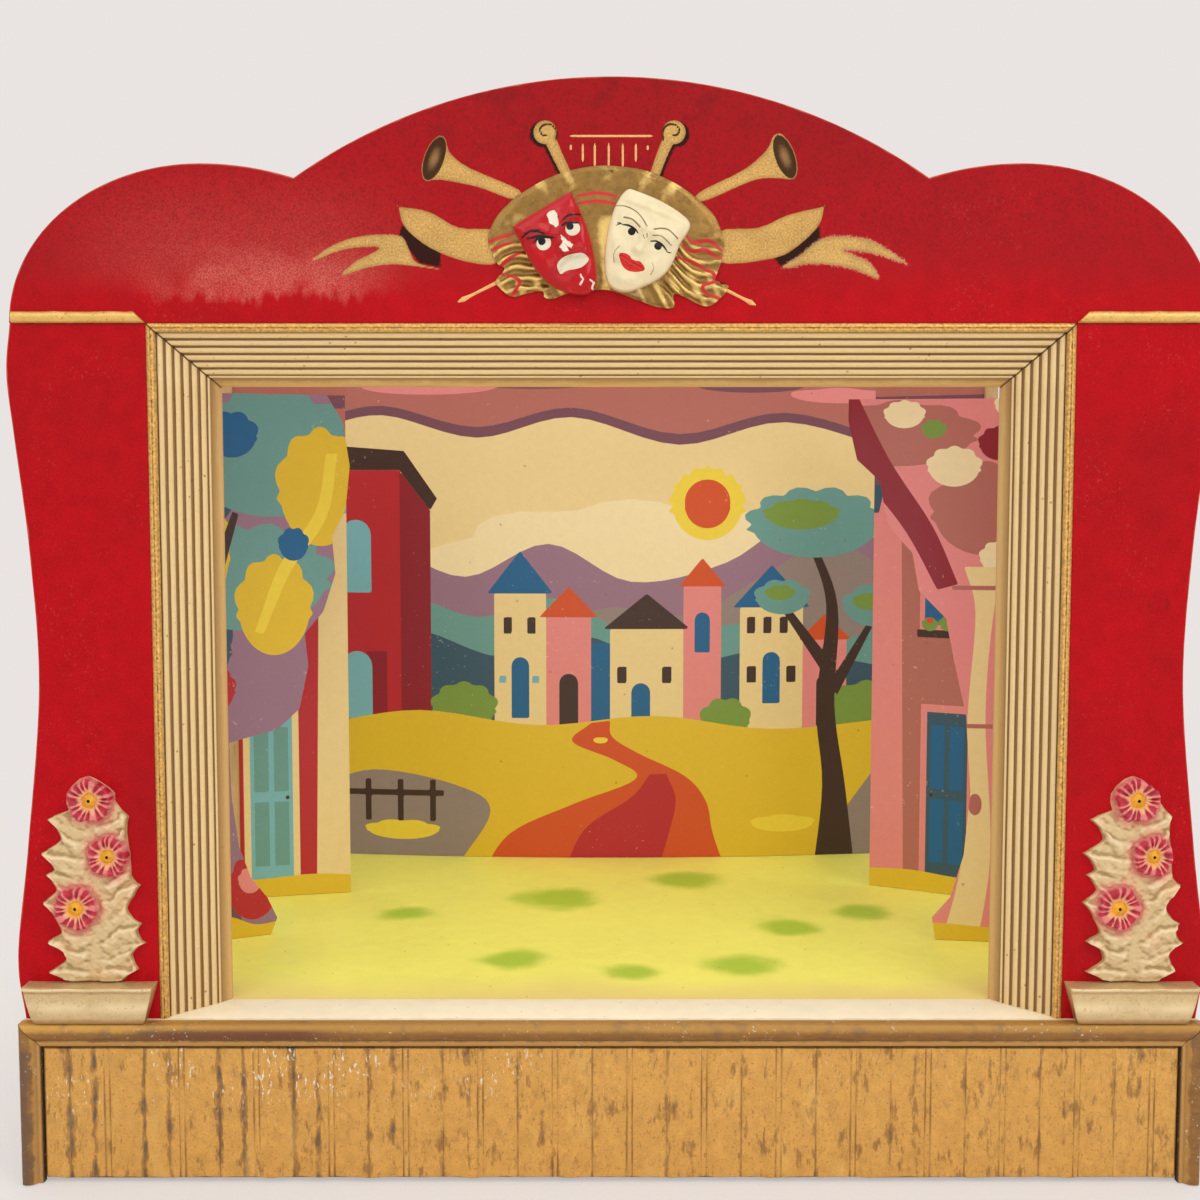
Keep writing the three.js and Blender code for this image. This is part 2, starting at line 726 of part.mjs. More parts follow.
// Backdrop: a sheet bowed towards the audience.
const backdropHalf = backdropWidth / 2;
const backdropEdgeDepth = stageDepth - screwRise - topRailThickness - rearPostDepthSize / 2;
const bowedDepth = (x) => backdropEdgeDepth - backdropBow * (1 - (x / backdropHalf) ** 2);

function backdrop() {
  const steps = 24;
  const front = [];
  const back = [];
  for (let i = 0; i <= steps; i += 1) {
    const x = (i / steps - 1 / 2) * backdropWidth;
    front.push([x, bowedDepth(x) - cardThickness / 2]);
    back.unshift([x, bowedDepth(x) + cardThickness / 2]);
  }
  return bar([...front, ...back], (x, y, t) => [x, y, shoulder + t * backdropHeight]);
}

// A round screw head on a flat face: the face's place, and the way it looks.
function screwHead(place, facing) {
  const domeShares = [[0, 0], [1, 0], [0.85, 0.6], [0.5, 0.92], [0, 1]];
  const headSides = 10;
  const head = new THREE.LatheGeometry(
    domeShares.map(([r, h]) => new THREE.Vector2(r * screwRadius, h * screwRise)), headSides,
  );
  const up = new THREE.Vector3(0, 1, 0);
  head.applyQuaternion(new THREE.Quaternion().setFromUnitVectors(up, new THREE.Vector3(...facing)));
  head.translate(...place);
  return facingOut(head);
}

// Stage box
const boxTop = [underDeck, deck];
const between = [-boxInner, boxInner];
add(theatre, 'apron_board', block([-boxHalf, boxHalf], [boardFront, apronDepth], boxTop), apronPaint);
add(theatre, 'stage_floor', boredBoard([-boxHalf, boxHalf], [apronDepth, stageDepth], boxTop, [
  ...socketsAt(frontPostDepth), ...socketsAt(rearPostDepth),
]), floorPaint);
add(theatre, 'box_front_board', block(between, [boardFront, boardBack], [toeLift, underDeck]), plywood);
add(theatre, 'ribbed_panel', ribbedPanel(), agedGilt);
add(theatre, 'box_top_moulding', topMoulding(), brownGilt);
add(theatre, 'box_back_board', block(between, [backBoardFront, stageDepth], [0, underDeck]), plywood);
for (const [side, hand] of hands) {
  const walls = across(hand, boxInner, boxHalf);
  add(theatre, `corner_moulding_${side}`, cornerMoulding(hand), brownGilt);
  add(theatre, `box_side_board_${side}`, block(walls, [boardFront, stageDepth], [0, underDeck]), plywood);
}

// Under the deck
const bearerZ = [underDeck - bearerHeight, underDeck];
const apronBearerY = [apronDepth - bearerWidth / 2, apronDepth + bearerWidth / 2];
add(theatre, 'apron_bearer', block(between, apronBearerY, bearerZ), bareWood);
const rearBearerY = [backBoardFront - bearerWidth, backBoardFront];
add(theatre, 'rear_bearer', block(between, rearBearerY, bearerZ), bareWood);
for (const [name, y] of [['front_post_rail', frontPostDepth], ['rear_post_rail', rearPostDepth]]) {
  const ys = [y - railWidth / 2, y + railWidth / 2];
  add(theatre, name, boredBoard(between, ys, [underDeck - railHeight, underDeck], socketsAt(y)), bareWood);
}

// Facade
for (const [side, hand] of hands) {
  add(theatre, `side_panel_${side}`, plate(sidePanelOutline(hand), 0, panelThickness), redPaint);
  add(theatre, `side_frame_${side}`, sideFrame(hand), creamPaint);
  add(theatre, `planter_${side}`, planter(hand), paleGilt);
  add(theatre, `flower_relief_${side}`, flowerRelief(hand), plasterCream);
  const upright = [deck, panelTop];
  const battenY = [panelThickness, keeperFront];
  const frameBattenX = across(hand, frameEdge, channelNear);
  add(theatre, `frame_batten_${side}`, block(frameBattenX, battenY, upright), bareWood);
  const outerBattenX = across(hand, channelFar, battenFar);
  add(theatre, `outer_batten_${side}`, block(outerBattenX, battenY, upright), bareWood);
  add(theatre, `tongue_keeper_${side}`, block(
    across(hand, frameEdge, battenFar), [keeperFront, keeperFront + keeperThickness],
    [panelTop - keeperHeight, panelTop],
  ), plywood);
  const gussetX = across(hand, battenFar, battenFar + gussetThickness);
  add(theatre, `panel_gusset_${side}`, bar([
    [panelThickness, deck], [panelThickness + gussetRun, deck],
    [panelThickness + gussetRun, deck + gussetToe],
    [panelThickness + gussetToe, deck + gussetRise], [panelThickness, deck + gussetRise],
  ], (y, z, t) => [gussetX[t > 0 ? 1 : 0], y, z]), plywood);
}

// Header, which lifts off as one
add(theatre, 'header_board', plate(headerOutline(), 0, panelThickness), redPaint);
add(theatre, 'top_frame', topFrame(), creamPaint);
add(theatre, 'header_batten', block(
  [-channelNear, channelNear], [panelThickness, panelThickness + headerBattenDepth],
  [seam, seam + tongueRise],
), bareWood);
add(theatre, 'mask_plaque', plaque(), plaqueGilt);
masks.forEach((item) => add(theatre, item.name, mask(item), item.finish));
for (const [side, hand] of hands) {
  const tongueX = across(hand, channelNear + slideGap, channelNear + slideGap + tongueWidth);
  const tongueFront = panelThickness + seatGap;
  const tongueY = [tongueFront, tongueFront + tongueThickness - slideGap];
  const tongueZ = [seam - tongueDrop, seam + tongueRise];
  add(theatre, `header_tongue_${side}`, block(tongueX, tongueY, tongueZ), bareWood);
  const stripSteps = 6;
  const strip = [];
  for (let i = 0; i <= stripSteps; i += 1) {
    const turn = (i / stripSteps) * Math.PI;
    strip.push([-Math.sin(turn) * stripDepth, seam + ((1 - Math.cos(turn)) / 2) * stripHeight]);
  }
  add(theatre, `header_strip_${side}`, bar(strip, (y, z, t) => [
    hand * (t > 0 ? shoulderHalf - stripDepth / 2 : frameEdge + (z - seam)), y, z,
  ]), agedGilt);
}

// Wings
for (const wing of wings) {
  const group = new THREE.Group();
  group.position.set(wing.hand * postX, wing.y, 0);
  const turn = THREE.MathUtils.degToRad(wing.turn);
  group.rotation.z = wing.hand < 0 ? turn : Math.PI - turn;
  add(group, `wing_post_${wing.name}`, wingPost(), bareWood);
  add(group, `wing_card_${wing.name}`, wingCard(wing), printedCard);
  theatre.add(group);
}

// Backdrop and its rear posts
add(theatre, 'backdrop', backdrop(), printedCard);
const rearPostNear = backdropHalf + seatGap * 2;
const channelMiddle = backdropEdgeDepth;
const guideRise = [deck, deck + rearPostRise];
const rearPostY = [channelMiddle - rearPostDepthSize / 2, channelMiddle + rearPostDepthSize / 2];
for (const [side, hand] of hands) {
  const postRange = across(hand, rearPostNear, rearPostNear + rearPostWidth);
  const guideRange = across(hand, rearPostNear - guideReach, rearPostNear);
  const frontGuide = [channelMiddle - channelWidth / 2 - guideWidth, channelMiddle - channelWidth / 2];
  const rearGuide = [channelMiddle + channelWidth / 2, channelMiddle + channelWidth / 2 + guideWidth];
  add(theatre, `backdrop_post_${side}`, block(postRange, rearPostY, guideRise), bareWood);
  add(theatre, `front_guide_${side}`, block(guideRange, frontGuide, guideRise), bareWood);
  add(theatre, `rear_guide_${side}`, block(guideRange, rearGuide, guideRise), bareWood);
}
const topRailHalf = rearPostNear + rearPostWidth;
const topRailBack = rearPostY[1] + topRailThickness;
const topRailZ = [deck + rearPostRise - topRailHeight, deck + rearPostRise];
add(theatre, 'backdrop_top_rail', block(
  [-topRailHalf, topRailHalf], [rearPostY[1], topRailBack], topRailZ,
), bareWood);
for (const [side, hand] of hands) {
  for (const [place, share] of [['lower', 1 / 4], ['upper', 3 / 4]]) {
    const x = hand * (rearPostNear + rearPostWidth / 2);
    const z = topRailZ[0] + share * topRailHeight;
    add(theatre, `rail_screw_${side}_${place}`, screwHead([x, topRailBack, z], [0, 1, 0]), steel);
  }
}

export default theatre;
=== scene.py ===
"""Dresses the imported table-top puppet theatre: painted boards, gilt mouldings, cast ornament,
scenery cards and the stage they are shown on.

Shapes are worked out in millimetres in the theatre's own frame, in which the facade's front
face is y = 0 and the table z = 0; `piece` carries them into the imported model's frame.
"""
import math

import bmesh
import bpy
import numpy as np
from bpy.props import FloatProperty, FloatVectorProperty, IntProperty, PointerProperty
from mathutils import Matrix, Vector


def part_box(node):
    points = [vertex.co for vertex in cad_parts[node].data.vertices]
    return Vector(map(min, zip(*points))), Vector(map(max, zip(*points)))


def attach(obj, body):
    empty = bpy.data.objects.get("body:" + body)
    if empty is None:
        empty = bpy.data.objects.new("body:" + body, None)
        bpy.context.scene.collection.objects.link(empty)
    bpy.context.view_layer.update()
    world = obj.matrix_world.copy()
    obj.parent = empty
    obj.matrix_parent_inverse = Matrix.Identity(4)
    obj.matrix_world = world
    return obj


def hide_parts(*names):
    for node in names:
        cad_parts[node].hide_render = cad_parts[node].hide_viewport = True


bl_info = {
    "name": "Puppet Theatre Dressing",
    "version": (1, 0, 0),
    "blender": (4, 5, 0),
    "location": "View3D > Sidebar > Theatre",
    "description": "Builds the painted boards, gilt mouldings, cast ornament and scenery of a toy theatre",
    "category": "Add Mesh",
}

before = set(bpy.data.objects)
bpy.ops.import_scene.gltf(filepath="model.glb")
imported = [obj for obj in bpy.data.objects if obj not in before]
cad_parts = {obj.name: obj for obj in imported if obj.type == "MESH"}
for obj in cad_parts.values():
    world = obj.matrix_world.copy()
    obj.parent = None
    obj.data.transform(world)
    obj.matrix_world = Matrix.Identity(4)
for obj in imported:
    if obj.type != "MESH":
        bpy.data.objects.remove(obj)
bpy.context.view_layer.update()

MM = 0.001
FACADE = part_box("header_board")[0].y  # the facade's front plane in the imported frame, in metres

# Sizes that several pieces share, in millimetres
GAP = 0.3  # between pieces that stand on or against each other
DECK = 98.0
DECK_THICK = 6.0
OPENING_HALF = 235.5
OPENING_TOP = 476.0
REACH = 34.5
FRAME_DEPTH = 35.0
FRAME_EDGE = OPENING_HALF + REACH
SEAM = OPENING_TOP + REACH
PANEL_TOP = SEAM - GAP
PANEL = 8.0
WAIST = 337.7
FLARE = 16.8
BOX_HALF = 352.0
BOX_INNER = 343.0
BOARD_FRONT = -3.0
STAGE_BACK = 440.0
APRON_BACK = 36.0
BOARD = BOX_HALF - BOX_INNER
UNDER = DECK - DECK_THICK
CROWN = 650.6
ARCH_HALF = 183.0
ARCH_RISE = 57.1
NOTCH = CROWN - ARCH_RISE
LOBE_RISE = 8.2
LOBE_X = 237.0
POST_X = 288.0
HANDS = (("left", -1), ("right", 1))


def rgb(red, green, blue):
    """A display colour in 0 to 255 as the linear colour that Blender's sockets hold."""
    share = np.array((red, green, blue)) / 255
    return tuple(np.where(share > 0.04045, ((share + 0.055) / 1.055) ** 2.4, share / 12.92))


# Settings that a user would change

def length(name, description, default, **limits):
    """A length property whose default is given in millimetres."""
    return FloatProperty(name=name, description=description, default=default * MM,
                         subtype="DISTANCE", unit="LENGTH", precision=4, **limits)


def colour(name, description, *shades):
    """A colour property whose default is a display colour."""
    return FloatVectorProperty(name=name, description=description, default=rgb(*shades),
                               subtype="COLOR", size=3, min=0, max=1)


class TheatreSizes(bpy.types.PropertyGroup):
    """Sizes of the theatre's worked surfaces."""
    rib_rise: length("Rib rise", "How far the frame's half-round ribs stand up", 1.7, min=0)
    bead_rise: length("Bead rise", "How far the frame's gilt outer bead stands up", 3.2, min=0)
    groove_depth: length("Groove depth", "Depth of the ribbed panel's grooves", 0.6, min=0)
    leaf_rise: length("Leaf rise", "How far the cast leaves stand off the facade", 6.2, min=0)
    flower_rise: length("Flower rise", "How far the cast flowers stand off the facade", 7.5, min=0)
    mask_rise: length("Mask rise", "How far a mask bulges past its rim", 6.0, min=0)
    edge_round: length("Edge rounding", "Radius of the boards' worn edges", 0.8, min=0)
    petals: IntProperty(name="Petals", description="Ridges round each flower", default=15, min=5)
    card_rows: IntProperty(name="Card rows", description="Grid rows up each scenery card",
                           default=300, min=20)
    lens: FloatProperty(name="Lens", description="Focal length of the camera", default=47.23,
                        min=1, subtype="DISTANCE_CAMERA")


class TheatreColours(bpy.types.PropertyGroup):
    """Paints, gilts and woods."""
    red: colour("Red paint", "Facade boards", 180, 8, 20)
    red_worn: colour("Worn red", "Scuffed and dusty red paint", 204, 74, 68)
    red_deep: colour("Deep red", "Mottling of the red paint", 152, 16, 20)
    cream: colour("Frame cream", "Ribs of the fluted frame", 234, 206, 152)
    # Grime and painted shade in the frame's grooves and on its side lengths
    grime: colour("Groove grime", "Dirt in the frame's grooves", 138, 98, 46)
    gilt: colour("Aged gilt", "Ribbed panel and edge strips", 211, 158, 78)
    gilt_bright: colour("Bright gilt", "Rubbed high spots of the gilding", 238, 196, 112)
    gilt_brown: colour("Brown gilt", "Box mouldings", 147, 103, 47)
    tarnish: colour("Tarnish", "Grey stains of the box", 92, 80, 70)
    pale_gilt: colour("Pale gilt", "Planters", 206, 178, 128)
    plaster: colour("Plaster", "Cast leaves", 211, 183, 134)
    petal: colour("Petal", "Cast flowers", 186, 30, 52)
    plaque: colour("Plaque gilt", "Plaque behind the masks", 146, 110, 52)
    mask_red: colour("Mask red", "Frowning mask", 182, 5, 18)
    mask_ivory: colour("Mask ivory", "Smiling mask", 229, 214, 173)
    floor_yellow: colour("Floor yellow", "Stage floor", 250, 244, 112)
    floor_green: colour("Floor green", "Blotches sprayed on the stage floor", 160, 200, 44)
    apron: colour("Apron cream", "Front strip of the stage", 255, 242, 210)
    wood: colour("Bare wood", "Battens, rails and posts", 196, 154, 104)
    plywood: colour("Plywood", "Boards of the stage box", 186, 146, 98)
    hardboard: colour("Hardboard", "Back of the facade's boards", 122, 84, 54)
    steel: colour("Steel", "Nails and screws", 150, 146, 140)


def sizes():
    return bpy.context.scene.theatre_sizes


def colours():
    return bpy.context.scene.theatre_colours


# Curves and distances

def curve(points, steps=8, closed=False):
    """A Catmull-Rom curve through the points: each span blends its four nearest points by cubics."""
    knots = np.asarray(points, float)
    if closed:
        knots = np.concatenate([knots[-1:], knots, knots[:2]])
    else:
        knots = np.concatenate([2 * knots[:1] - knots[1:2], knots, 2 * knots[-1:] - knots[-2:-1]])
    t = np.linspace(0, 1, steps, endpoint=False)[None, :, None]
    before, start, end, after = (knots[i:len(knots) - 3 + i, None] for i in range(4))
    spans = 0.5 * (2 * start + (end - before) * t
                   + (2 * before - 5 * start + 4 * end - after) * t ** 2
                   + (3 * start - before - 3 * end + after) * t ** 3)
    line = spans.reshape(-1, knots.shape[1])
    return line if closed else np.concatenate([line, knots[-2:-1]])


def stroke(spots, line, half=0.0, reach=6.0):
    """Distance of each spot from a polyline less its half width, which may change along the line."""
    line = np.asarray(line, float)
    half = np.broadcast_to(half, len(line)).astype(float)
    found = np.full(len(spots), reach)
    low, high = line.min(0) - reach - half.max(), line.max(0) + reach + half.max()
    near = np.all((spots > low) & (spots < high), axis=1)
    if near.any():
        ends, run = line[:-1], line[1:] - line[:-1]
        away = spots[near][:, None] - ends[None]
        share = np.clip((away * run).sum(-1) / np.maximum((run ** 2).sum(-1), 1e-12), 0, 1)
        gap = np.linalg.norm(away - share[..., None] * run, axis=-1)
        width = half[:-1] + share * (half[1:] - half[:-1])
        found[near] = np.minimum((gap - width).min(1), reach)
    return found


def brush_line(spots, line, half, power=1.0):
    """Distance from a curved line whose half width follows the middle of a sine's arch."""
    path = curve(line, 6)
    return stroke(spots, path, half * np.sin(np.linspace(0.5, 2.6, len(path))) ** power)


def area(spots, outline, reach=6.0):
    """Signed distance of each spot from a closed outline: its nearest side, negative where a
    level ray from the spot crosses the outline an odd number of times."""
    outline = np.asarray(outline, float)
    loop = np.concatenate([outline, outline[:1]])
    found = stroke(spots, loop, 0.0, reach)
    low, high = outline.min(0), outline.max(0)
    near = np.all((spots >= low) & (spots <= high), axis=1)
    if near.any():
        x, y = spots[near].T
        (ax, ay), (bx, by) = loop[:-1].T, loop[1:].T
        spans = (ay > y[:, None]) != (by > y[:, None])
        rise = np.where(by == ay, 1.0, by - ay)
        crossed = spans & (x[:, None] < ax + (y[:, None] - ay) * (bx - ax) / rise)
        inside = crossed.sum(1) % 2 == 1
        found[near] = np.where(inside, -found[near], found[near])
    return found


def disc(spots, centre, radii, turn=0.0):
    """Signed distance, near the rim, from an ellipse: its scaled radius less one, in millimetres."""
    cos, sin = math.cos(turn), math.sin(turn)
    x, y = (spots - np.asarray(centre)).T
    across, up = (x * cos + y * sin) / radii[0], (y * cos - x * sin) / radii[1]
    return (np.hypot(across, up) - 1) * min(radii)


def ripple(place, scale, seed, octaves=3):
    """Smooth seeded noise in -1 to 1: sines along random directions, finer and weaker by turns."""
    draw = np.random.default_rng(seed)
    place = np.asarray(place, float)
    total, weight = 0.0, 0.0
    for octave in range(octaves):
        for _ in range(4):
            way = draw.normal(size=place.shape[-1])
            way *= 2 ** octave / (scale * np.linalg.norm(way))
            total = total + np.sin((place * way).sum(-1) * 2 * math.pi
                                   + draw.uniform(0, 6.3)) / 2 ** octave
            weight += 0.5 / 2 ** octave
    return total / weight


def smooth(value, low, high):
    """Smoothstep from 0 at `low` to 1 at `high`."""
    share = np.clip((value - low) / (high - low), 0, 1)
    return share * share * (3 - 2 * share)


# Meshes

class Shell:
    """A closed skin laid on rings of points: quads join each ring to the next, and a ring at either
    end that spans an area gets a face. Marks are one number for each point."""

    def __init__(self, rings, **marks):
        rings = np.asarray(rings, float)
        count, around = rings.shape[:2]
        self.spots = rings.reshape(-1, 3)
        index = np.arange(count * around).reshape(count, around)
        wrapped = np.concatenate([index, index[:, :1]], axis=1)
        self.quads = np.stack([wrapped[:-1, :-1], wrapped[:-1, 1:],
                               wrapped[1:, 1:], wrapped[1:, :-1]], axis=-1).reshape(-1, 4)
        self.caps = [index[end] for end in (0, -1)
                     if (np.ptp(rings[end], axis=0) > 1e-3).sum() > 1]
        self.marks = {name: np.broadcast_to(values, (count, around)).reshape(-1)
                      for name, values in marks.items()}


def closed_rows(values, right=0.0, left=0.0):
    """Rows over the front of a relief, each closed by its two back corners, the right one first."""
    corners = [np.broadcast_to(corner, (len(values), 1)) for corner in (right, left)]
    return np.concatenate([values, *corners], axis=1)


def turned(spots, degrees, centre=(0, 0)):
    """Points turned about the vertical through `centre`, anticlockwise as seen from above."""
    cos, sin = math.cos(math.radians(degrees)), math.sin(math.radians(degrees))
    x, y, z = spots.T
    return np.stack([centre[0] + x * cos - y * sin, centre[1] + x * sin + y * cos, z], axis=1)


def piece(name, shells, body, finish, replaces=(), sharp=35):
    """Makes one object of closed shells: joins doubled points, turns faces outwards, shades
    smooth with edges sharper than `sharp` degrees kept, and sets its body and material."""
    counts = np.cumsum([0] + [len(shell.spots) for shell in shells])
    spots = np.concatenate([shell.spots for shell in shells]) * MM
    spots[:, 1] += FACADE
    faces = []
    for shell, start in zip(shells, counts):
        faces += (shell.quads + start).tolist()
        faces += [(cap + start).tolist() for cap in shell.caps]
    mesh = bpy.data.meshes.new(name)
    mesh.from_pydata(spots.tolist(), [], faces)
    for mark in sorted({key for shell in shells for key in shell.marks}):
        layer = mesh.attributes.new(mark, "FLOAT", "POINT")
        parts = [shell.marks.get(mark, np.zeros(len(shell.spots))) for shell in shells]
        layer.data.foreach_set("value", np.concatenate(parts).astype(np.float32))
    skin = bmesh.new()
    skin.from_mesh(mesh)
    bmesh.ops.remove_doubles(skin, verts=skin.verts, dist=2e-6)
    bmesh.ops.recalc_face_normals(skin, faces=skin.faces)
    skin.to_mesh(mesh)
    skin.free()
    mesh.polygons.foreach_set("use_smooth", np.ones(len(mesh.polygons), bool))
    mesh.set_sharp_from_angle(angle=math.radians(sharp))
    made = bpy.data.objects.new(name, mesh)
    bpy.context.scene.collection.objects.link(made)
    mesh.materials.append(finish)
    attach(made, body)
    if replaces:
        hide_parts(*replaces)


def slab(stations, low, high, front, back, rows, place, rounding, marks=None):
    """A board between a low and a high edge that may change from station to station. Each ring
    runs over the front from the low edge to the high one, turns a quarter circle at each
    edge, and returns over the back. `place` carries (station, across, depth) to x, y, z, and
    `marks` gives named numbers for (station, across, depth) arrays."""
    stations = np.asarray(stations, float)[:, None]
    low, high = (np.broadcast_to(edge, len(stations))[:, None] for edge in (low, high))
    radius = np.minimum(rounding, (high - low) * 0.45)
    inward = 1.0 if back > front else -1.0
    bend = np.linspace(0, math.pi / 2, 4)[None]
    share = np.linspace(0, 1, rows)[None]
    flat = (low + radius) + (high - low - 2 * radius) * share
    over = [flat, high - radius + radius * np.sin(bend), high - radius + radius * np.cos(bend),
            low + radius - radius * np.sin(bend), low + radius - radius * np.cos(bend)]
    face = np.zeros_like(flat)
    turn_in, turn_out = radius * (1 - np.cos(bend)), radius * (1 - np.sin(bend))
    depth = [front + face, front + inward * turn_in, back - inward * turn_out,
             back - inward * turn_in, front + inward * turn_out]
    across, depth = np.concatenate(over, axis=1), np.concatenate(depth, axis=1)
    where = np.broadcast_to(stations, across.shape)
    named = marks(where, across, depth) if marks else {}
    return Shell(np.stack(np.broadcast_arrays(*place(where, across, depth)), axis=-1), **named)


def bar(outline, stations, place):
    """A profile of (a, b) points carried along stations; `place` gives x, y, z for (a, b, t)."""
    a, b = np.asarray(outline, float).T
    t = np.asarray(stations, float)[:, None]
    a, b, t = np.broadcast_arrays(a[None], b[None], t)
    return Shell(np.stack(np.broadcast_arrays(*place(a, b, t)), axis=-1))


def beam(lows, highs, axis=0, rounding=0.6, steps=24, wobble=0.0, seed=0):
    """A squared length of timber: a rectangle with rounded corners, carried along one axis and
    drawn in a little at its two ends; `wobble` is how far its faces stray."""
    lows, highs = np.asarray(lows, float), np.asarray(highs, float)
    others = [i for i in range(3) if i != axis]
    half = (highs - lows)[others] / 2
    middle = (highs + lows)[others] / 2
    bend = np.linspace(0, math.pi / 2, 4)
    corner = np.concatenate([bend + quarter * math.pi / 2 for quarter in range(4)])
    signs = np.repeat([[1, 1], [-1, 1], [-1, -1], [1, -1]], 4, axis=0)
    radius = min(rounding, half.min() * 0.9)
    along = np.linspace(lows[axis], highs[axis], steps)
    along = np.concatenate([along[:1], along[:1] + radius * 0.3, along[:1] + radius, along[1:-1],
                            along[-1:] - radius, along[-1:] - radius * 0.3, along[-1:]])
    drawn_in = np.zeros(len(along))
    drawn_in[[0, -1]], drawn_in[[1, -2]] = radius, radius * 0.3
    reach = half - radius
    round_part = np.stack([np.cos(corner), np.sin(corner)], axis=1) * radius
    ring = signs * reach + round_part
    scale = 1 - drawn_in[:, None, None] / half
    section = ring[None] * scale + middle
    if wobble:
        stray = np.stack([ripple(np.concatenate([section, np.broadcast_to(
            along[:, None, None], section.shape[:2] + (1,))], axis=2), 90, seed + i)
            for i in range(2)], axis=-1)
        section = section - wobble * np.abs(stray) * signs
    rings = np.empty(section.shape[:2] + (3,))
    rings[..., axis] = along[:, None]
    rings[..., others] = section
    return Shell(rings)


# Materials

class Wire:
    """A socket in an expression: each operator adds one Math node to its material."""

    def __init__(self, finish, socket):
        self.finish, self.socket = finish, socket

    def maths(self, operation, *values):
        return self.finish.node("Math", {"operation": operation}, dict(enumerate(values)))

    def __add__(self, other):
        return self.maths("ADD", self, other)

    def __sub__(self, other):
        return self.maths("SUBTRACT", self, other)

    def __rsub__(self, other):
        return self.maths("SUBTRACT", other, self)

    def __mul__(self, other):
        return self.maths("MULTIPLY", self, other)

    def __pow__(self, other):
        return self.maths("POWER", self, other)

    def __abs__(self):
        return self.maths("ABSOLUTE", self)

    __radd__, __rmul__ = __add__, __mul__


class Finish:
    """A material under construction. Lengths in its patterns are in millimetres."""

    def __init__(self, name):
        self.material = bpy.data.materials.new(name)
        self.material.use_nodes = True
        self.tree = self.material.node_tree
        self.shader = self.tree.nodes["Principled BSDF"]
        self.place = self.node("TexCoord", out="Object")

    def node(self, kind, settings=None, values=None, out=0):
        """Adds a node: its settings first, then a value or a link for each named socket."""
        made = self.tree.nodes.new("ShaderNode" + kind)
        for key, value in (settings or {}).items():
            setattr(made, key, value)
        for key, value in (values or {}).items():
            self.feed(made.inputs[key], value)
        return Wire(self, made.outputs[out])

    def feed(self, socket, value):
        if isinstance(value, Wire):
            self.tree.links.new(value.socket, socket)
        elif socket.type == "RGBA":
            socket.default_value = (*value[:3], 1)
        else:
            socket.default_value = value

    def mark(self, name):
        return self.node("Attribute", {"attribute_name": name}, out="Fac")

    def axis(self, name):
        """One coordinate of the surface, in millimetres."""
        return self.node("SeparateXYZ", values={0: self.place}, out=name) * 1000

    def scaled(self, size, stretch, shift):
        """The surface's place in steps of `size` millimetres, drawn out by `stretch`, then shifted."""
        scale = [1000 / (size * pull) for pull in stretch]
        return self.node("Mapping", values={"Vector": self.place, "Scale": scale, "Location": shift})

    def noise(self, size, detail=2, stretch=(1, 1, 1), seed=0, rough=0.5):
        """Noise in about 0 to 1 with features `size` millimetres across, drawn out by `stretch`."""
        spot = self.scaled(size, stretch, (seed * 7.3, seed * 3.1, seed * 5.7))
        return self.node("TexNoise", values={"Vector": spot, "Scale": 1.0, "Detail": detail,
                                             "Roughness": rough})

    def cells(self, size, seed=0):
        """Distance to the nearest of scattered points, as a share of their spacing."""
        spot = self.scaled(size, (1, 1, 1), (seed * 2.9, seed * 4.7, seed * 1.3))
        return self.node("TexVoronoi", values={"Vector": spot, "Scale": 1.0}, out="Distance")

    def from_spot(self, spot_x, spot_y):
        """Distance of the surface from a point seen from above, in millimetres."""
        return ((self.axis("X") - spot_x) ** 2 + (self.axis("Y") - spot_y) ** 2) ** 0.5

    def band(self, value, low, high):
        """0 below `low`, 1 above `high`, smooth between; turned round where low is the greater."""
        return self.node("MapRange", {"interpolation_type": "SMOOTHSTEP"},
                         {0: value, 1: low, 2: high, 3: 0.0, 4: 1.0})

    def mix(self, share, under, over):
        return self.node("Mix", {"data_type": "RGBA"}, {0: share, 6: under, 7: over}, out=2)

    def shade(self, amount, under, dark=0.75, light=1.2):
        """Lightens or darkens a colour: `amount` 0 is the dark factor and 1 the light one."""
        grey = self.node("MapRange", values={0: amount, 1: 0.25, 2: 0.75, 3: dark, 4: light})
        tint = self.node("CombineXYZ", values={0: grey, 1: grey, 2: grey})
        return self.node("VectorMath", {"operation": "MULTIPLY"}, {0: under, 1: tint})

    def bump(self, height, depth, strength):
        """Relief from a height in 0 to 1 that stands for `depth` millimetres."""
        return self.node("Bump", values={"Height": height, "Distance": depth * MM,
                                         "Strength": strength})

    def done(self, colour, rough=0.5, metal=0.0, normal=None, coat=0.0, **fixed):
        """Links what varies and sets what doesn't on the shader's own sockets."""
        for name, value in (("Base Color", colour), ("Roughness", rough), ("Metallic", metal),
                            ("Coat Weight", coat), ("Normal", normal)):
            if value is not None:
                self.feed(self.shader.inputs[name], value)
        for name, value in fixed.items():
            self.feed(self.shader.inputs[name.replace("_", " ")], value)
        return self.material


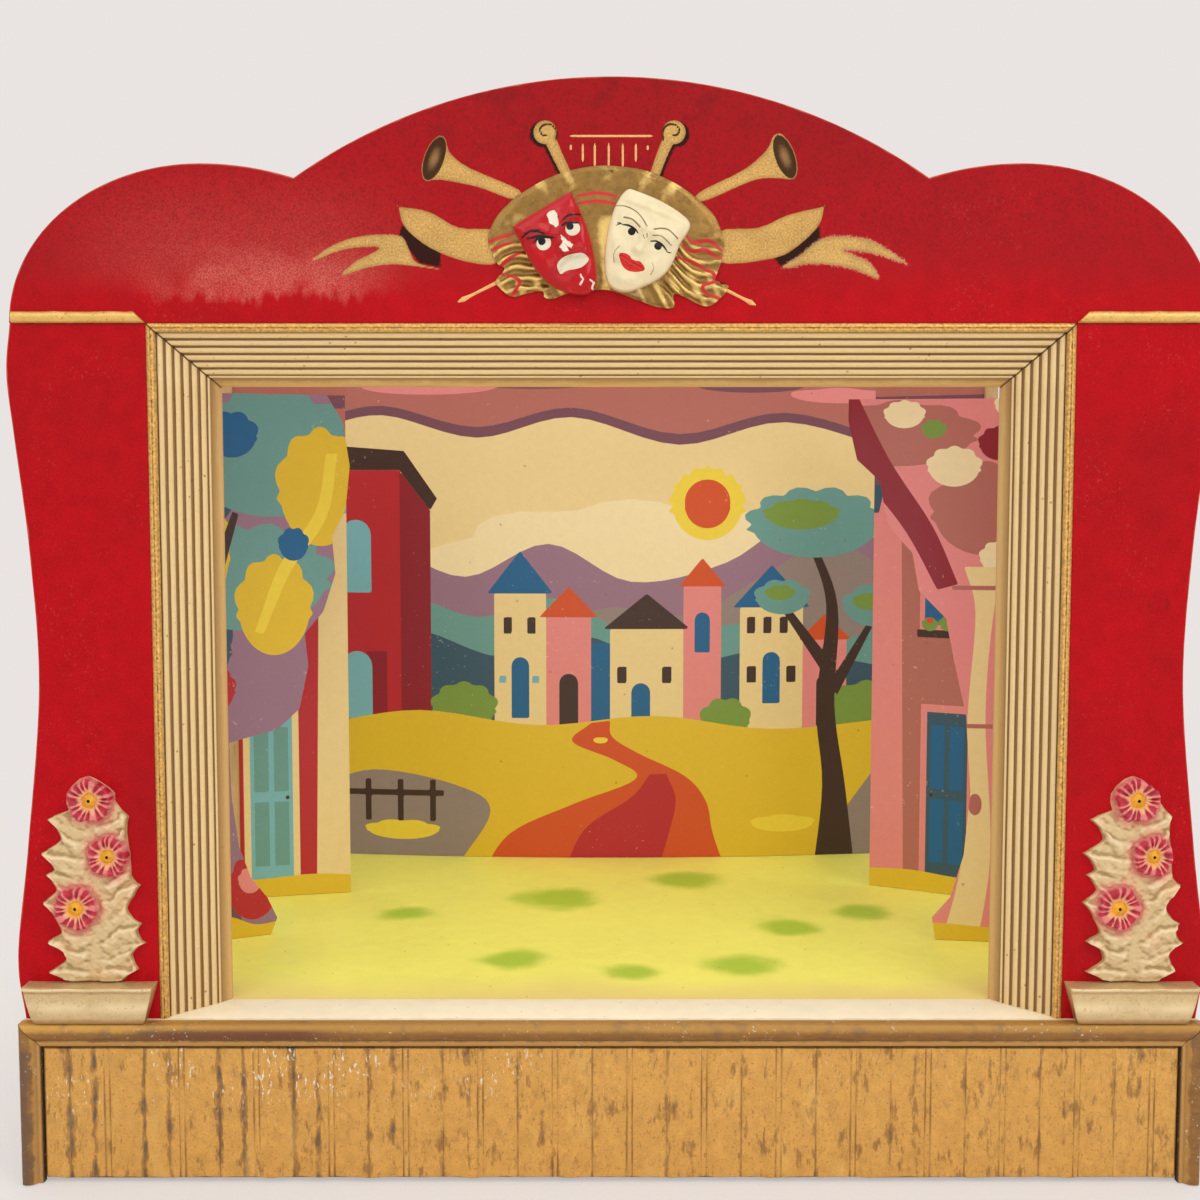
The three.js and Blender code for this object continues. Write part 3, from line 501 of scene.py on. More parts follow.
def painted_red(name, ornament=False):
    """Red distemper with fine orange peel: mottled, speckled, scuffed and paler at its edges;
    the header's carries gold ornament airbrushed over brown shadows."""
    c, f = colours(), Finish(name)
    x, z = f.axis("X"), f.axis("Z")
    broad, fine, grit = f.noise(130, 3), f.noise(9, 4, seed=1), f.noise(1.1, 2, seed=2)
    paint = f.mix(f.band(broad, 0.4, 0.7) * 0.55, c.red, c.red_deep)
    paint = f.shade(fine * 0.35 + grit * 0.65, paint, 0.7, 1.2)
    specks = f.band(f.cells(5.5, 3), 0.15, 0.05) * f.band(f.noise(40, 2, seed=4), 0.46, 0.62)
    paint = f.mix(specks * 0.55, paint, rgb(88, 16, 18))
    dust = f.band(f.noise(1.8, 3, seed=5), 0.6, 0.72) * f.band(f.noise(60, 2, seed=6), 0.46, 0.7)
    paint = f.mix(dust * 0.34, paint, c.red_worn)
    if ornament:
        top = f.band(z, 560, 650) * f.band(abs(x), 230, 90)
        soot = f.band(f.noise(17, 3, seed=11), 0.5, 0.72) * top
        paint = f.mix(top * 0.5, paint, c.red_deep)
        paint = f.mix(soot * 0.4, paint, rgb(92, 18, 20))
        bloom = f.band(f.noise(1.0, 4, seed=7, rough=0.7), 0.38, 0.64)
        ragged = z + (f.noise(9, 4, seed=12, stretch=(0.7, 1, 1.6)) - 0.5) * 26
        low_haze = f.band(abs(x + 200), 86, 30) * f.band(ragged, 523, 531) * f.band(z, 562, 532)
        low_haze = low_haze * f.band(f.noise(30, 3, seed=13), 0.3, 0.56)
        wide_haze = f.band(abs(x + 215), 130, 30) * f.band(z, 524, 545) * f.band(z, 612, 550)
        paint = f.mix(f.band(z, 520, 548) * 0.34, paint, rgb(136, 26, 30))
        paint = f.mix((low_haze * 0.56 + wide_haze * 0.2) * (bloom * 0.75 + 0.25), paint,
                      rgb(214, 120, 106))
        grime = f.band(f.noise(1.7, 3, seed=14), 0.5, 0.66) * f.band(z, 528, 575)
        paint = f.mix(grime * 0.3, paint, rgb(96, 18, 24))
    else:
        stain_x = f.band(f.node("VectorMath", {"operation": "DISTANCE"},
                                {0: f.place, 1: (0.322, FACADE, 0.347)}, out="Value"), 0.0085, 0.002)
        paint = f.mix(stain_x * f.band(fine, 0.35, 0.6) * 0.7, paint, rgb(84, 14, 20))
    edge = f.mark("edge") + fine * 1.6 - 0.8
    paint = f.mix(f.band(edge, 1.1, 0.2) * 0.55, paint, rgb(214, 120, 92))
    metal = 0.0
    relief = grit * 0.55 + fine * 0.45
    if ornament:
        stipple = (grit - 0.5) * 2.2 + (f.noise(2.2, 2, seed=8) - 0.5) * 1.4
        shadow = f.band(f.mark("umber") + stipple, 0.9, -0.6)
        paint = f.mix(shadow * 0.97, paint, rgb(36, 18, 12))
        halo = f.band(f.mark("halo") + stipple * 1.7, 1.4, -1.2) * 0.7
        paint = f.mix(halo, paint, rgb(232, 196, 150))
        gold = f.band(f.mark("gold") + stipple * 0.32, 0.3, -0.15)
        faded = f.band(x, -80, -104) * f.band(z, 600, 606)
        dusting = f.shade(grit * 0.75 + f.noise(14, 2, seed=9) * 0.25, rgb(200, 160, 92), 0.5, 1.44)
        dusting = f.mix(f.band(f.mark("gold") + stipple * 0.5, -2.4, 0.2) * 0.35, dusting, rgb(130, 88, 48))
        paint = f.mix(gold * (0.96 - 0.25 * faded), paint, dusting)
        lining = f.band(f.mark("lining") + stipple * 0.12, 0.25, -0.2)
        throat = f.mix(f.band(f.mark("lining") + stipple * 0.6, -1.6, -5.2) * 0.75, rgb(44, 22, 14),
                       rgb(160, 118, 76))
        paint = f.mix(lining * 0.94, paint, throat)
        metal = gold * 0.25
        relief = relief + gold * 0.25
    back = f.mark("back")
    board = f.shade(f.noise(1.6, 3, seed=10), c.hardboard, 0.8, 1.2)
    paint = f.mix(back, paint, board)
    return f.done(paint, rough=0.5 + (grit - 0.5) * 0.22 + back * 0.3, metal=metal,
                  normal=f.bump(relief, 0.2, 0.9), Specular_IOR_Level=0.09)


def gilded(name, base, deep, bright, speck=0.4, chips=0.0, streaks=0.0, metal=0.45, marks=(),
           grain=1.2):
    """Aged bronze paint: a base gilt lit by a painted highlight where the `high` mark is 1, darkened by
    the `low` mark, which on the planters is painted shade and on the ribbed panel follows its grooves,
    with dark grains, grey stains drawn out downwards and chips that show white ground."""
    c, f = colours(), Finish(name)
    fine, grit, broad = f.noise(7, 4), f.noise(grain, 2, seed=1), f.noise(38, 3, seed=2)
    gilt = f.shade(fine * 0.5 + grit * 0.5, base, 0.78, 1.2)
    if "high" in marks:
        # Painted highlight where the `high` mark is 1
        gilt = f.mix(f.mark("high") * f.band(broad, 0.34, 0.6) * 0.85, gilt, bright)
    if "low" in marks:
        # Darkened by the `low` mark: painted shade on the planters, darker in the ribbed panel's grooves
        gilt = f.mix(f.band(f.mark("low") + (fine - 0.5) * 0.7, 0.25, 0.9) * 0.85, gilt, deep)
    dark = f.band(f.noise(1.9, 3, seed=3), 0.58, 0.7) * speck
    gilt = f.mix(dark, gilt, deep)
    if streaks:
        worn = (f.noise(6, 5, seed=4, stretch=(0.6, 1, 2.0), rough=0.68) - 0.5) * 3.4
        worn = worn + (f.noise(22, 3, seed=8) - 0.5) * 2.2
        gilt = f.mix(f.band(f.mark("stain") + worn, 0.25, 0.7) * 0.7, gilt, deep)
        gilt = f.mix(f.band(f.mark("stain") + worn, 0.72, 1.2) * 0.8 * streaks, gilt, c.tarnish)
        mottle = f.band(f.noise(5, 5, seed=9, stretch=(0.8, 1, 1.5), rough=0.66), 0.5, 0.68)
        mottle = mottle * f.band(f.noise(30, 2, seed=10), 0.36, 0.6)
        gilt = f.mix(mottle * 0.34, gilt, deep)
        gilt = f.mix(f.band(f.noise(16, 3, seed=5, stretch=(1, 1, 3)), 0.55, 0.8) * 0.35, gilt, bright)
    white = 0.0
    if chips:
        patch = f.band(f.noise(30, 2, seed=6), 0.44, 0.6) * f.band(f.axis("Z"), 22, 72)
        patch = patch * (f.band(f.axis("X"), 40, -110) * 0.85 + 0.15)
        white = f.band(f.noise(2.1, 5, seed=7, stretch=(0.7, 1, 1.8)) + patch * 0.05, 0.655, 0.685) * chips
        white = white * (patch * 0.92 + 0.08)
        gilt = f.mix(white, gilt, rgb(232, 220, 198))
        metal = (1 - white) * metal
    height = fine * 0.5 + grit * 0.5 - white * 0.4
    return f.done(gilt, rough=0.42 + (fine - 0.5) * 0.35 + dark * 0.25, metal=metal,
                  normal=f.bump(height, 0.22, 0.8), Specular_IOR_Level=0.5)


def fluted_paint():
    """Cream paint on the ribs with brown grime and painted shade settled in the grooves, painted shade over
    the side lengths, a gilt outer bead, a bare orange inner strip, a dark line at the mitres and bare wood on
    their cut faces."""
    c, f = colours(), Finish("fluted_frame_paint")
    fine, grit, broad = f.noise(8, 4), f.noise(1.3, 3, seed=1), f.noise(46, 2, seed=2)
    groove = f.mark("groove")
    paint = f.shade(fine * 0.55 + grit * 0.45, c.cream, 0.9, 1.08)
    # Painted shade: the side lengths, below the top length, are browner and darker
    upright = f.band(f.axis("Z"), 482, 470) * 0.2
    # Grooves darkened by grime and by painted shade on the ribs' sides, with the side lengths' painted shade
    # added
    grime_and_shade = f.band(groove + upright + (fine - 0.5) * 0.5 + (broad - 0.5) * 0.5, 0.3, 0.82)
    paint = f.mix(upright * 0.9, paint, rgb(200, 152, 88))
    paint = f.mix(grime_and_shade * 0.9, paint, c.grime)
    specks = f.band(f.cells(6.5, 3), 0.16, 0.06) * f.band(f.noise(22, 2, seed=4), 0.5, 0.62)
    paint = f.mix(specks * 0.7, paint, rgb(96, 78, 50))
    strip = f.shade(broad * 0.6 + fine * 0.4, rgb(216, 172, 108), 0.84, 1.1)
    paint = f.mix(f.mark("strip"), paint, strip)
    bead = f.mark("bead")
    leaf = f.shade(f.noise(1.7, 4, seed=5), rgb(216, 168, 92), 0.5, 1.36)
    leaf = f.mix(f.band(groove + (f.noise(1.6, 3, seed=6) - 0.5) * 1.1, 0.3, 0.8), leaf, rgb(104, 70, 28))
    paint = f.mix(bead, paint, leaf)
    wood = f.shade(f.noise(2.5, 3, seed=7, stretch=(1, 1, 9)), c.wood, 0.8, 1.12)
    paint = f.mix(f.mark("back"), paint, wood)
    from_cut = f.mark("mitre")
    cut_face = f.band(from_cut, 0.06, 0.02)
    paint = f.mix(f.band(from_cut, 0.5, 0.15), paint, rgb(60, 34, 18))
    paint = f.mix(cut_face, paint, wood)
    return f.done(paint, rough=0.46 + grime_and_shade * 0.3 - bead * 0.1, metal=bead * (1 - cut_face) * 0.45,
                  normal=f.bump(grit * 0.5 + fine * 0.5, 0.14, 0.7))


def plain_wood(name, base, grain_along="Z", ring=6.0, rough=0.68):
    """Sawn or turned softwood: long grain lines, broader growth bands and darker pores."""
    f = Finish(name)
    pull = {"X": (11, 1, 1), "Y": (1, 11, 1), "Z": (1, 1, 11)}[grain_along]
    grain, lines = f.noise(ring, 3, pull), f.noise(ring / 5, 3, pull, seed=1)
    wood = f.shade(grain * 0.55 + lines * 0.45, base, 0.72, 1.18)
    pores = f.band(f.noise(0.9, 2, pull, seed=2), 0.62, 0.74)
    wood = f.mix(pores * 0.4, wood, rgb(112, 76, 44))
    soil = f.band(f.noise(60, 3, seed=3), 0.5, 0.8)
    wood = f.mix(soil * 0.3, wood, rgb(120, 92, 64))
    return f.done(wood, rough=rough + (lines - 0.5) * 0.2,
                  normal=f.bump(lines * 0.6 + grain * 0.4, 0.18, 0.6))


def plywood_paint(name, base):
    """Thin plywood with a rotary-cut face, brown stain wiped over it and dark nicks."""
    f = Finish(name)
    face, flame = f.noise(26, 4, (3.2, 3.2, 1)), f.noise(7, 3, (5, 5, 1), seed=1)
    wood = f.shade(face * 0.6 + flame * 0.4, base, 0.7, 1.2)
    wood = f.mix(f.band(f.noise(90, 3, seed=2), 0.46, 0.72) * 0.4, wood, rgb(118, 80, 48))
    nicks = f.band(f.cells(14, 3), 0.1, 0.03)
    wood = f.mix(nicks * 0.6, wood, rgb(78, 52, 32))
    return f.done(wood, rough=0.6 + (flame - 0.5) * 0.3, normal=f.bump(flame, 0.15, 0.6))


def steel_heads():
    """Dull steel with rust freckles."""
    c, f = colours(), Finish("dull_steel")
    rust = f.band(f.noise(1.4, 3), 0.52, 0.66)
    tone = f.mix(rust * 0.7, f.shade(f.noise(0.8, 2, seed=1), c.steel, 0.8, 1.15), rgb(112, 70, 44))
    return f.done(tone, rough=0.36 + rust * 0.4, metal=0.9 - rust * 0.6,
                  normal=f.bump(rust, 0.06, 0.8))


# Facade boards

STRIP_HIGH, STRIP_DEEP = 7.0, 3.5
# Outer edge of a side panel: shares of its height and of its flare past the waist
SIDE_EDGE = np.array([(0, 0.774), (0.092, 1), (0.256, 0.53), (0.484, 0), (0.677, 0.196),
                      (0.837, 0.613), (0.93, 0.833), (1, 0.673)])
SHOULDER = WAIST + SIDE_EDGE[-1, 1] * FLARE
# The header's painted ornament: outlines and lines, right of the middle and above the deck
TRUMPETS = (
    [(-106.7, 505.4), (-100.8, 517.8), (-95.7, 516.7), (-92.5, 509), (-82, 500.9), (-53.3, 488.4),
     (-56.8, 483.3), (-76.3, 490.1), (-95.9, 494.1), (-105.1, 495.2)],
    [(50.4, 486.7), (76.2, 499.7), (89.4, 511), (93.3, 518.9), (99.1, 518.9), (104.9, 505.4),
     (103.9, 495.2), (96.4, 495.2), (82, 494.1), (53.3, 482.2)],
)
MOUTHS = (((-101.8, 506.2), 0.36), ((99.8, 507.2), -0.36))
RIBBONS = (
    [(-122.5, 478.8), (-122.5, 478.8), (-105.2, 475.9), (-88, 466.9), (-66, 464.6), (-66, 447.5),
     (-82.3, 447.5), (-99.6, 453.2), (-111.1, 460), (-119.7, 468.6)],
    [(62, 464.6), (85.1, 466.9), (102.3, 474.2), (122.5, 478.8), (122.5, 478.8), (119.7, 468.6),
     (108.3, 457.2), (93.9, 449.8), (62, 447.5)],
)
TAILS = (
    [(-173.6, 447.5), (-163.1, 456.1), (-145.7, 462.3), (-122.6, 462.9), (-116.9, 455.5),
     (-112.4, 447.5), (-99.7, 444.1), (-100.9, 442.9), (-122.8, 445.8), (-140.2, 444.1),
     (-156.4, 439.5), (-148.8, 447.5), (-134.3, 455.5), (-154.5, 454.3)],
    [(98.6, 444.1), (108.3, 450.9), (122.7, 461.2), (145.8, 461.2), (160.3, 454.3), (172, 445.8),
     (154.5, 451.5), (134.3, 454.3), (148.8, 447.5), (154.7, 437.8), (137.3, 444.1), (117, 446.4)],
)
FOLDS = (
    [(-120.5, 469), (-111, 460.5), (-99, 453), (-98.5, 444.5), (-111, 447), (-117, 455), (-122.6, 462.5)],
    [(119.7, 468.6), (108.3, 457.2), (94, 450), (98.6, 444.8), (108.3, 450.9), (121, 460)],
)
LYRE = ((-38.0, 521.0, -1), (36.0, 521.0, 1))  # scroll centres and the way each faces
ARM_FOOT = (23.6, 497.0)
STRING_HALF = 0.62
STRINGS = ((-23.3, 511.0, 514.0), (-16.4, 504.3, 514.6), (-9.5, 500.9, 514.8), (-1.5, 499.7, 515),
           (6.6, 500.9, 514.8), (14.1, 504.3, 514.6), (20.9, 511.0, 513.6))
CROSSBAR = ((-23.9, 518.9), (23.8, 518.9))
STEMS = (((-88.8, 424.6), (-63.3, 437.2)), ((83.7, 422.9), (60.4, 434.6)))
STEM_WIDTHS = (1.5, 1.5, 1.0, 0.8, 0.85, 0.9, 0.95, 1.0, 1.0)


def arch_fall(run, span, fall):
    """How far a circle has fallen at `run` from its top, where it falls `fall` over `span`."""
    radius = (span ** 2 + fall ** 2) / (2 * fall)
    return radius - np.sqrt(radius ** 2 - np.minimum(run, span) ** 2)


def header_top(x):
    """Header outline: a flat circular arch in the middle, then a lobe over each shoulder that
    rises by a circle and falls by a quarter ellipse."""
    x = np.abs(x)
    lobe_top = NOTCH + LOBE_RISE
    arch = CROWN - arch_fall(x, ARCH_HALF, ARCH_RISE)
    rise = lobe_top - arch_fall(LOBE_X - x, LOBE_X - ARCH_HALF, LOBE_RISE)
    out = np.clip((x - LOBE_X) / (SHOULDER - LOBE_X), 0, 1)
    fall = SEAM + (lobe_top - SEAM) * np.sqrt(1 - out ** 2)
    return np.where(x <= ARCH_HALF, arch, np.where(x <= LOBE_X, rise, fall))


def panel_edge(z):
    """Outer edge of a side panel: a smooth curve through its hip, waist and shoulder."""
    out, high = curve(SIDE_EDGE[:, ::-1], 10).T
    return WAIST + FLARE * np.minimum(np.interp((z - DECK) / (PANEL_TOP - DECK), high, out), 1)


def ornament_marks(x, z):
    """Signed distances of the header's painted ornament, in millimetres: gold shapes, the brown
    airbrushed under and beside them, dark lining, and pale haze round the ribbon's tails."""
    spots = np.stack([x.ravel(), z.ravel() - DECK], axis=1)
    rounded = [curve(shape, 4, closed=True) for shape in TRUMPETS + RIBBONS]
    tails = [area(spots, curve(shape, 4, closed=True)) + 0.45 for shape in TAILS]
    gold = tails + [area(spots, shape) for shape in rounded]
    umber = [area(spots, fold) for fold in FOLDS]
    lining = []
    for centre, lean in MOUTHS:
        gold.append(disc(spots, centre, (5.8, 13.2), -lean))
        lining.append(disc(spots, centre, (5.5, 12.9), -lean))
    for across, up, facing in LYRE:
        arm = curve([(across - facing * 2.5, up - 3), (across - facing * 7, up - 13),
                     (facing * ARM_FOOT[0], ARM_FOOT[1] - 4)], 6)
        widths = np.linspace(3.3, 2.6, len(arm))
        side = np.array([facing * 1.5, -1.1])
        umber += [stroke(spots, arm + side, widths),
                  disc(spots, (across + side[0], up + side[1]), (7.2, 7.2))]
        gold += [stroke(spots, arm, widths), disc(spots, (across, up), (6.6, 6.6))]
        curl = curve([(-0.95, -0.65), (-0.98, 0.1), (-0.6, 0.6), (0, 0.68), (0.45, 0.3), (0.3, -0.2),
                      (-0.1, -0.25)], 6)
        lining.append(stroke(spots, curl * (facing * 6.6, 6.6) + (across, up), 0.62))
    halo = np.minimum(*tails) + np.where(spots[:, 0] > 0, 0.0, 0.9)
    found = {"gold": gold, "umber": umber, "lining": lining, "halo": [halo]}
    return {name: np.min(parts, axis=0).reshape(x.shape) for name, parts in found.items()}


def brushed(line, half, lift=0.16, sink=0.2):
    """A raised brush line on the facade's front: a low rounded section carried along the line,
    narrowed to nothing at both ends."""
    line = np.asarray(line, float)
    way = np.gradient(line, axis=0)
    way /= np.linalg.norm(way, axis=1, keepdims=True)
    side = np.stack([-way[:, 1], way[:, 0]], axis=1)
    width = np.broadcast_to(half, len(line)).astype(float).copy()
    width[[0, -1]] *= 0.25
    across = np.array([-1, -0.7, 0, 0.7, 1, 1, -1])
    height = np.array([0, 0.75, 1, 0.75, 0, -sink / lift, -sink / lift]) * lift
    flat = line[:, None] + side[:, None] * (across[None, :, None] * width[:, None, None])
    depth = np.broadcast_to(-height, flat.shape[:2])
    return Shell(np.stack([flat[..., 0], depth, flat[..., 1] + DECK], axis=-1))


def frame_section():
    """Fluted section from the opening's edge outwards: points (out, back) on a splayed face, lifted
    off it by a fine reed, six flat-topped reeds and a double gilt bead."""
    rib, bead = sizes().rib_rise / MM, sizes().bead_rise / MM
    slope = FRAME_DEPTH / REACH
    normal = np.array([-slope, -1]) / math.hypot(slope, 1)
    points, kinds = [[(0, FRAME_DEPTH + 4)], [(0, FRAME_DEPTH)]], [[(0, 0, 0, 1)], [(0.2, 0, 1, 0)]]
    edges = [5.0, 6.8] + list(np.linspace(6.8, REACH - 4.0, 7)[1:]) + [REACH]
    for index, (start, end) in enumerate(zip(edges[:-1], edges[1:])):
        last = index == len(edges) - 2
        turn = np.linspace(0, math.pi, 21 if last else 13)
        gutter = 0.0 if last else 0.15
        s = start + (end - start) * (gutter + (1 - 2 * gutter) * (1 - np.cos(turn)) / 2)
        swell = np.sin(turn) ** 0.7
        lift = swell * (bead if last else rib * (0.6 if index == 0 else 1))
        groove = 1 - smooth(swell, 0.22, 0.86)
        if last:
            split = np.exp(-((turn / math.pi - 0.66) / 0.07) ** 2)
            lift, groove = lift - split * 0.7, np.maximum(groove * (turn < 1.5), split * 0.6)
        face = np.stack([s, FRAME_DEPTH - s * slope], axis=1) + normal * lift[:, None]
        points.append(face)
        kinds.append([(g, float(last), 0.0, 0.0) for g in groove])
    points.append([(REACH, 2.5), (REACH, FRAME_DEPTH + 4)])
    kinds.append([(0.6, 0, 0, 0), (0, 0, 0, 1)])
    return np.concatenate(points), np.concatenate(kinds)


class THEATRE_OT_facade_boards(bpy.types.Operator):
    """Side panels with their curved edge, and the header board with its painted ornament"""
    bl_idname = "theatre.facade_boards"
    bl_label = "Facade Boards"

    def execute(self, context):
        rounding = sizes().edge_round / MM
        red = painted_red("red_side_paint")

        def marks(z, a, depth):
            slope = np.gradient(panel_edge(z[:, 0]), z[:, 0])[:, None]
            return {"edge": (panel_edge(z) - a) / np.hypot(1, slope), "back": depth > PANEL - 0.05}

        heights = np.linspace(DECK, PANEL_TOP, 110)
        for side, hand in HANDS:
            panel = slab(heights, FRAME_EDGE, panel_edge(heights), 0, PANEL, 30,
                         lambda z, a, depth: (hand * a, depth, z), rounding, marks)
            piece("painted_side_panel_" + side, [panel], "stage", red,
                  ["side_panel_" + side])

        lobe = LOBE_X + (SHOULDER - LOBE_X) * np.sin(np.linspace(0, math.pi / 2, 34))
        half = np.concatenate([np.linspace(0, ARCH_HALF, 160), np.linspace(ARCH_HALF, LOBE_X, 16)[1:],
                               lobe[1:]])
        columns = np.concatenate([-half[:0:-1], half])

        def header_marks(x, z, depth):
            slope = np.gradient(header_top(x[:, 0]), x[:, 0])[:, None]
            return {"edge": (header_top(x) - z) / np.hypot(1, slope),
                    "back": depth > PANEL - 0.05, **ornament_marks(x, z)}

        board = slab(columns, SEAM, header_top(columns), 0, PANEL, 118,
                     lambda x, z, depth: (x, depth, z), rounding, header_marks)
        piece("painted_header", [board], "header", painted_red("red_header_paint", True),
              ["header_board"])
        lines = [brushed(np.linspace((x, low), (x, high), 9), STRING_HALF) for x, low, high in STRINGS]
        lines.append(brushed(np.linspace(*CROSSBAR, 30), STRING_HALF))
        lines += [brushed(np.linspace(tip, foot, 9), STEM_WIDTHS, 0.3) for tip, foot in STEMS]
        c = colours()
        piece("header_gold_lines", lines, "header",
              gilded("gold_line_paint", rgb(222, 170, 104), rgb(150, 106, 54), c.gilt_bright, 0.3))
        return {"FINISHED"}


class THEATRE_OT_fluted_frame(bpy.types.Operator):
    """Fluted frame of the opening, mitred at its top corners, and the header's gilt strips"""
    bl_idname = "theatre.fluted_frame"
    bl_label = "Fluted Frame"

    def execute(self, context):
        section, kinds = frame_section()
        paint = fluted_paint()

        def made(name, stations, place, mitre, body, replaced):
            s, d = section.T
            t = np.asarray(stations)[:, None]
            spots = np.stack(np.broadcast_arrays(*place(s[None], d[None], t)), axis=-1)
            wander = ripple(spots, 70, 11) * 0.16 * (1 - kinds[:, 3])
            spots[..., 1] += wander
            shell = Shell(spots, groove=kinds[:, 0], bead=kinds[:, 1], strip=kinds[:, 2],
                          back=kinds[:, 3], mitre=mitre(s[None], t))
            piece(name, [shell], body, paint, [replaced], sharp=50)

        def top(s):
            """Top of a side length at its mitre."""
            return OPENING_TOP + s - GAP

        for side, hand in HANDS:
            made("fluted_side_" + side, np.linspace(0, 1, 90),
                 lambda s, d, t: (hand * (OPENING_HALF + s), d, DECK + t * (top(s) - DECK)),
                 lambda s, t: (1 - t) * (top(s) - DECK), "stage", "side_frame_" + side)
        made("fluted_top", np.linspace(-1, 1, 130),
             lambda s, d, t: (t * (OPENING_HALF + s - GAP), d, OPENING_TOP + s + 0 * t),
             lambda s, t: (1 - np.abs(t)) * (OPENING_HALF + s - GAP), "header", "top_frame")

        turn = np.linspace(0, math.pi, 9)
        profile = np.stack([np.sin(turn) ** 0.7 * STRIP_DEEP, (1 - np.cos(turn)) / 2 * STRIP_HIGH],
                           axis=1)
        c = colours()
        gold = gilded("gold_strip_paint", rgb(222, 180, 100), rgb(150, 106, 54), c.gilt_bright, 0.5,
                      metal=0.5, grain=0.9)
        for side, hand in HANDS:
            strip = bar(profile, np.linspace(0, 1, 70), lambda out, up, t: (
                hand * (FRAME_EDGE + up + t * (SHOULDER - 1.75 - FRAME_EDGE - up)), -out, SEAM + up))
            raised = smooth(strip.spots[:, 2], SEAM + 1, SEAM + 6)
            strip.spots[:, 2] += ripple(strip.spots, 14, 5) * 0.22 * raised - 0.25 * raised
            strip.spots[:, 1] += np.abs(ripple(strip.spots, 9, 6)) * 0.25 * (strip.spots[:, 1] < -1)
            piece("gilt_strip_" + side, [strip], "header", gold, ["header_strip_" + side])
        return {"FINISHED"}


# Cast ornament

PLANTER_X = 309.5
PLANTER_HIGH, PLANTER_DEEP = 23.0, 15.0
PLANTER_HALF, PLANTER_SPREAD = 33.0, 5.5  # half width at the foot, and what the rim adds to it
PLANTER_RIM = [(0.95, 0.91), (0.99, 0.925), (1, 0.955), (0.99, 0.985), (0.965, 1), (0.55, 1), (0, 1)]
PLANTER_SECTION = [(0.66, 0), (0.74, 0.03), (0.81, 0.12), (0.87, 0.3), (0.9, 0.5), (0.9, 0.7),
                   (0.88, 0.9)]
RELIEF_HIGH = 123.7
# Outline of the left relief: height over the planter, and reach to either side of its middle
LEFT_TIPS = np.array([
    (0, -12), (1.6, -18), (5.7, -26.3), (8, -22.5), (13.3, -15.8), (18, -17), (24, -26.8), (26, -24),
    (29.4, -18.2), (38, -22), (47.8, -28.9), (50, -26), (55.2, -20.6), (60, -23), (64.4, -27),
    (67.5, -21.8), (72, -24), (77.4, -29.3), (80, -25), (86, -17.2), (91, -19), (97.7, -25.4),
    (100, -21), (103.3, -12), (108, -13.4), (113, -13.2), (118, -9.8), (122, -5.2), (123.7, -1)])
RIGHT_TIPS = np.array([
    (0, 16), (1, 19), (7.2, 27.6), (12, 25), (15.8, 23.8), (20, 27), (23.2, 32.4), (25, 29.5),
    (30.6, 27.4), (34.9, 30), (38, 25), (44.1, 21.4), (52, 26), (58.3, 29.8), (60, 27), (63.9, 24.4),
    (77.4, 23.8), (90, 22.2), (95, 22.4), (99.6, 23.6), (104, 19), (109, 15.5), (114, 15.4),
    (118, 10.8), (122, 4.6), (123.7, 0.5)])
# Leaves: root, tip, widest half width and bend of the middle line, from the lowest up
LEAVES = (
    ((1, 3), (-26, 5.8), 6.4, 2.5), ((2, 3), (27.2, 7.4), 6.6, 3.0), ((0, 8), (-17, 15), 5.5, 3.5),
    ((3, 9), (24, 16.6), 5.8, 2.8), ((0, 13), (-26.4, 24), 6.2, 4.2), ((4, 14), (32, 23.4), 6.6, 3.4),
    ((2, 22), (-18, 30), 5.6, 3.0), ((5, 20), (29.6, 34.6), 6.8, 2.2), ((6, 30), (22, 44), 6.2, 2.6),
    ((-2, 36), (-28.6, 47.8), 6.4, 1.6), ((6, 44), (29.4, 58.2), 6.6, 2.6),
    ((4, 36), (16, 50), 5.2, 2.0), ((4, 52), (-20.4, 55.4), 5.4, 3.8), ((8, 56), (24, 65), 5.6, 2.0),
    ((4, 58), (-26.6, 64.4), 6.6, 5.2), ((0, 66), (-21.6, 71), 5.4, 3.4), ((2, 70), (-29, 77.4), 6.8, 4.0),
    ((6, 66), (23.4, 78), 6.0, 3.0), ((0, 80), (-17, 88), 5.6, 3.4), ((8, 80), (22, 90), 6.0, 2.6),
    ((3, 86), (-25, 97.8), 6.4, 3.6), ((2, 88), (23.2, 99.6), 6.6, 3.2), ((0, 94), (-11, 104), 5.6, 2.0))
# Flowers: place across and up, half width and half height
FLOWERS = ((1.6, 109.8, 13.6, 13.2), (11.6, 76.2, 12.2, 12.4), (-8.0, 45.0, 13.0, 13.2))


def leafy_edge(tips, up):
    """Outline over the leaf tips: from each hollow it leaves slowly and runs out to a sharp tip,
    as a power of the share of the way, and beside the top flower it is straight between points."""
    height, reach = tips.T
    part = np.clip(np.searchsorted(height, up, side="right") - 1, 0, len(height) - 2)
    share = (up - height[part]) / (height[part + 1] - height[part])
    near, far = reach[part], reach[part + 1]
    power = np.where(up < 100, 1.45, 1.0)
    share = np.where(np.abs(far) > np.abs(near), share ** power, 1 - (1 - share) ** power)
    return near + (far - near) * share


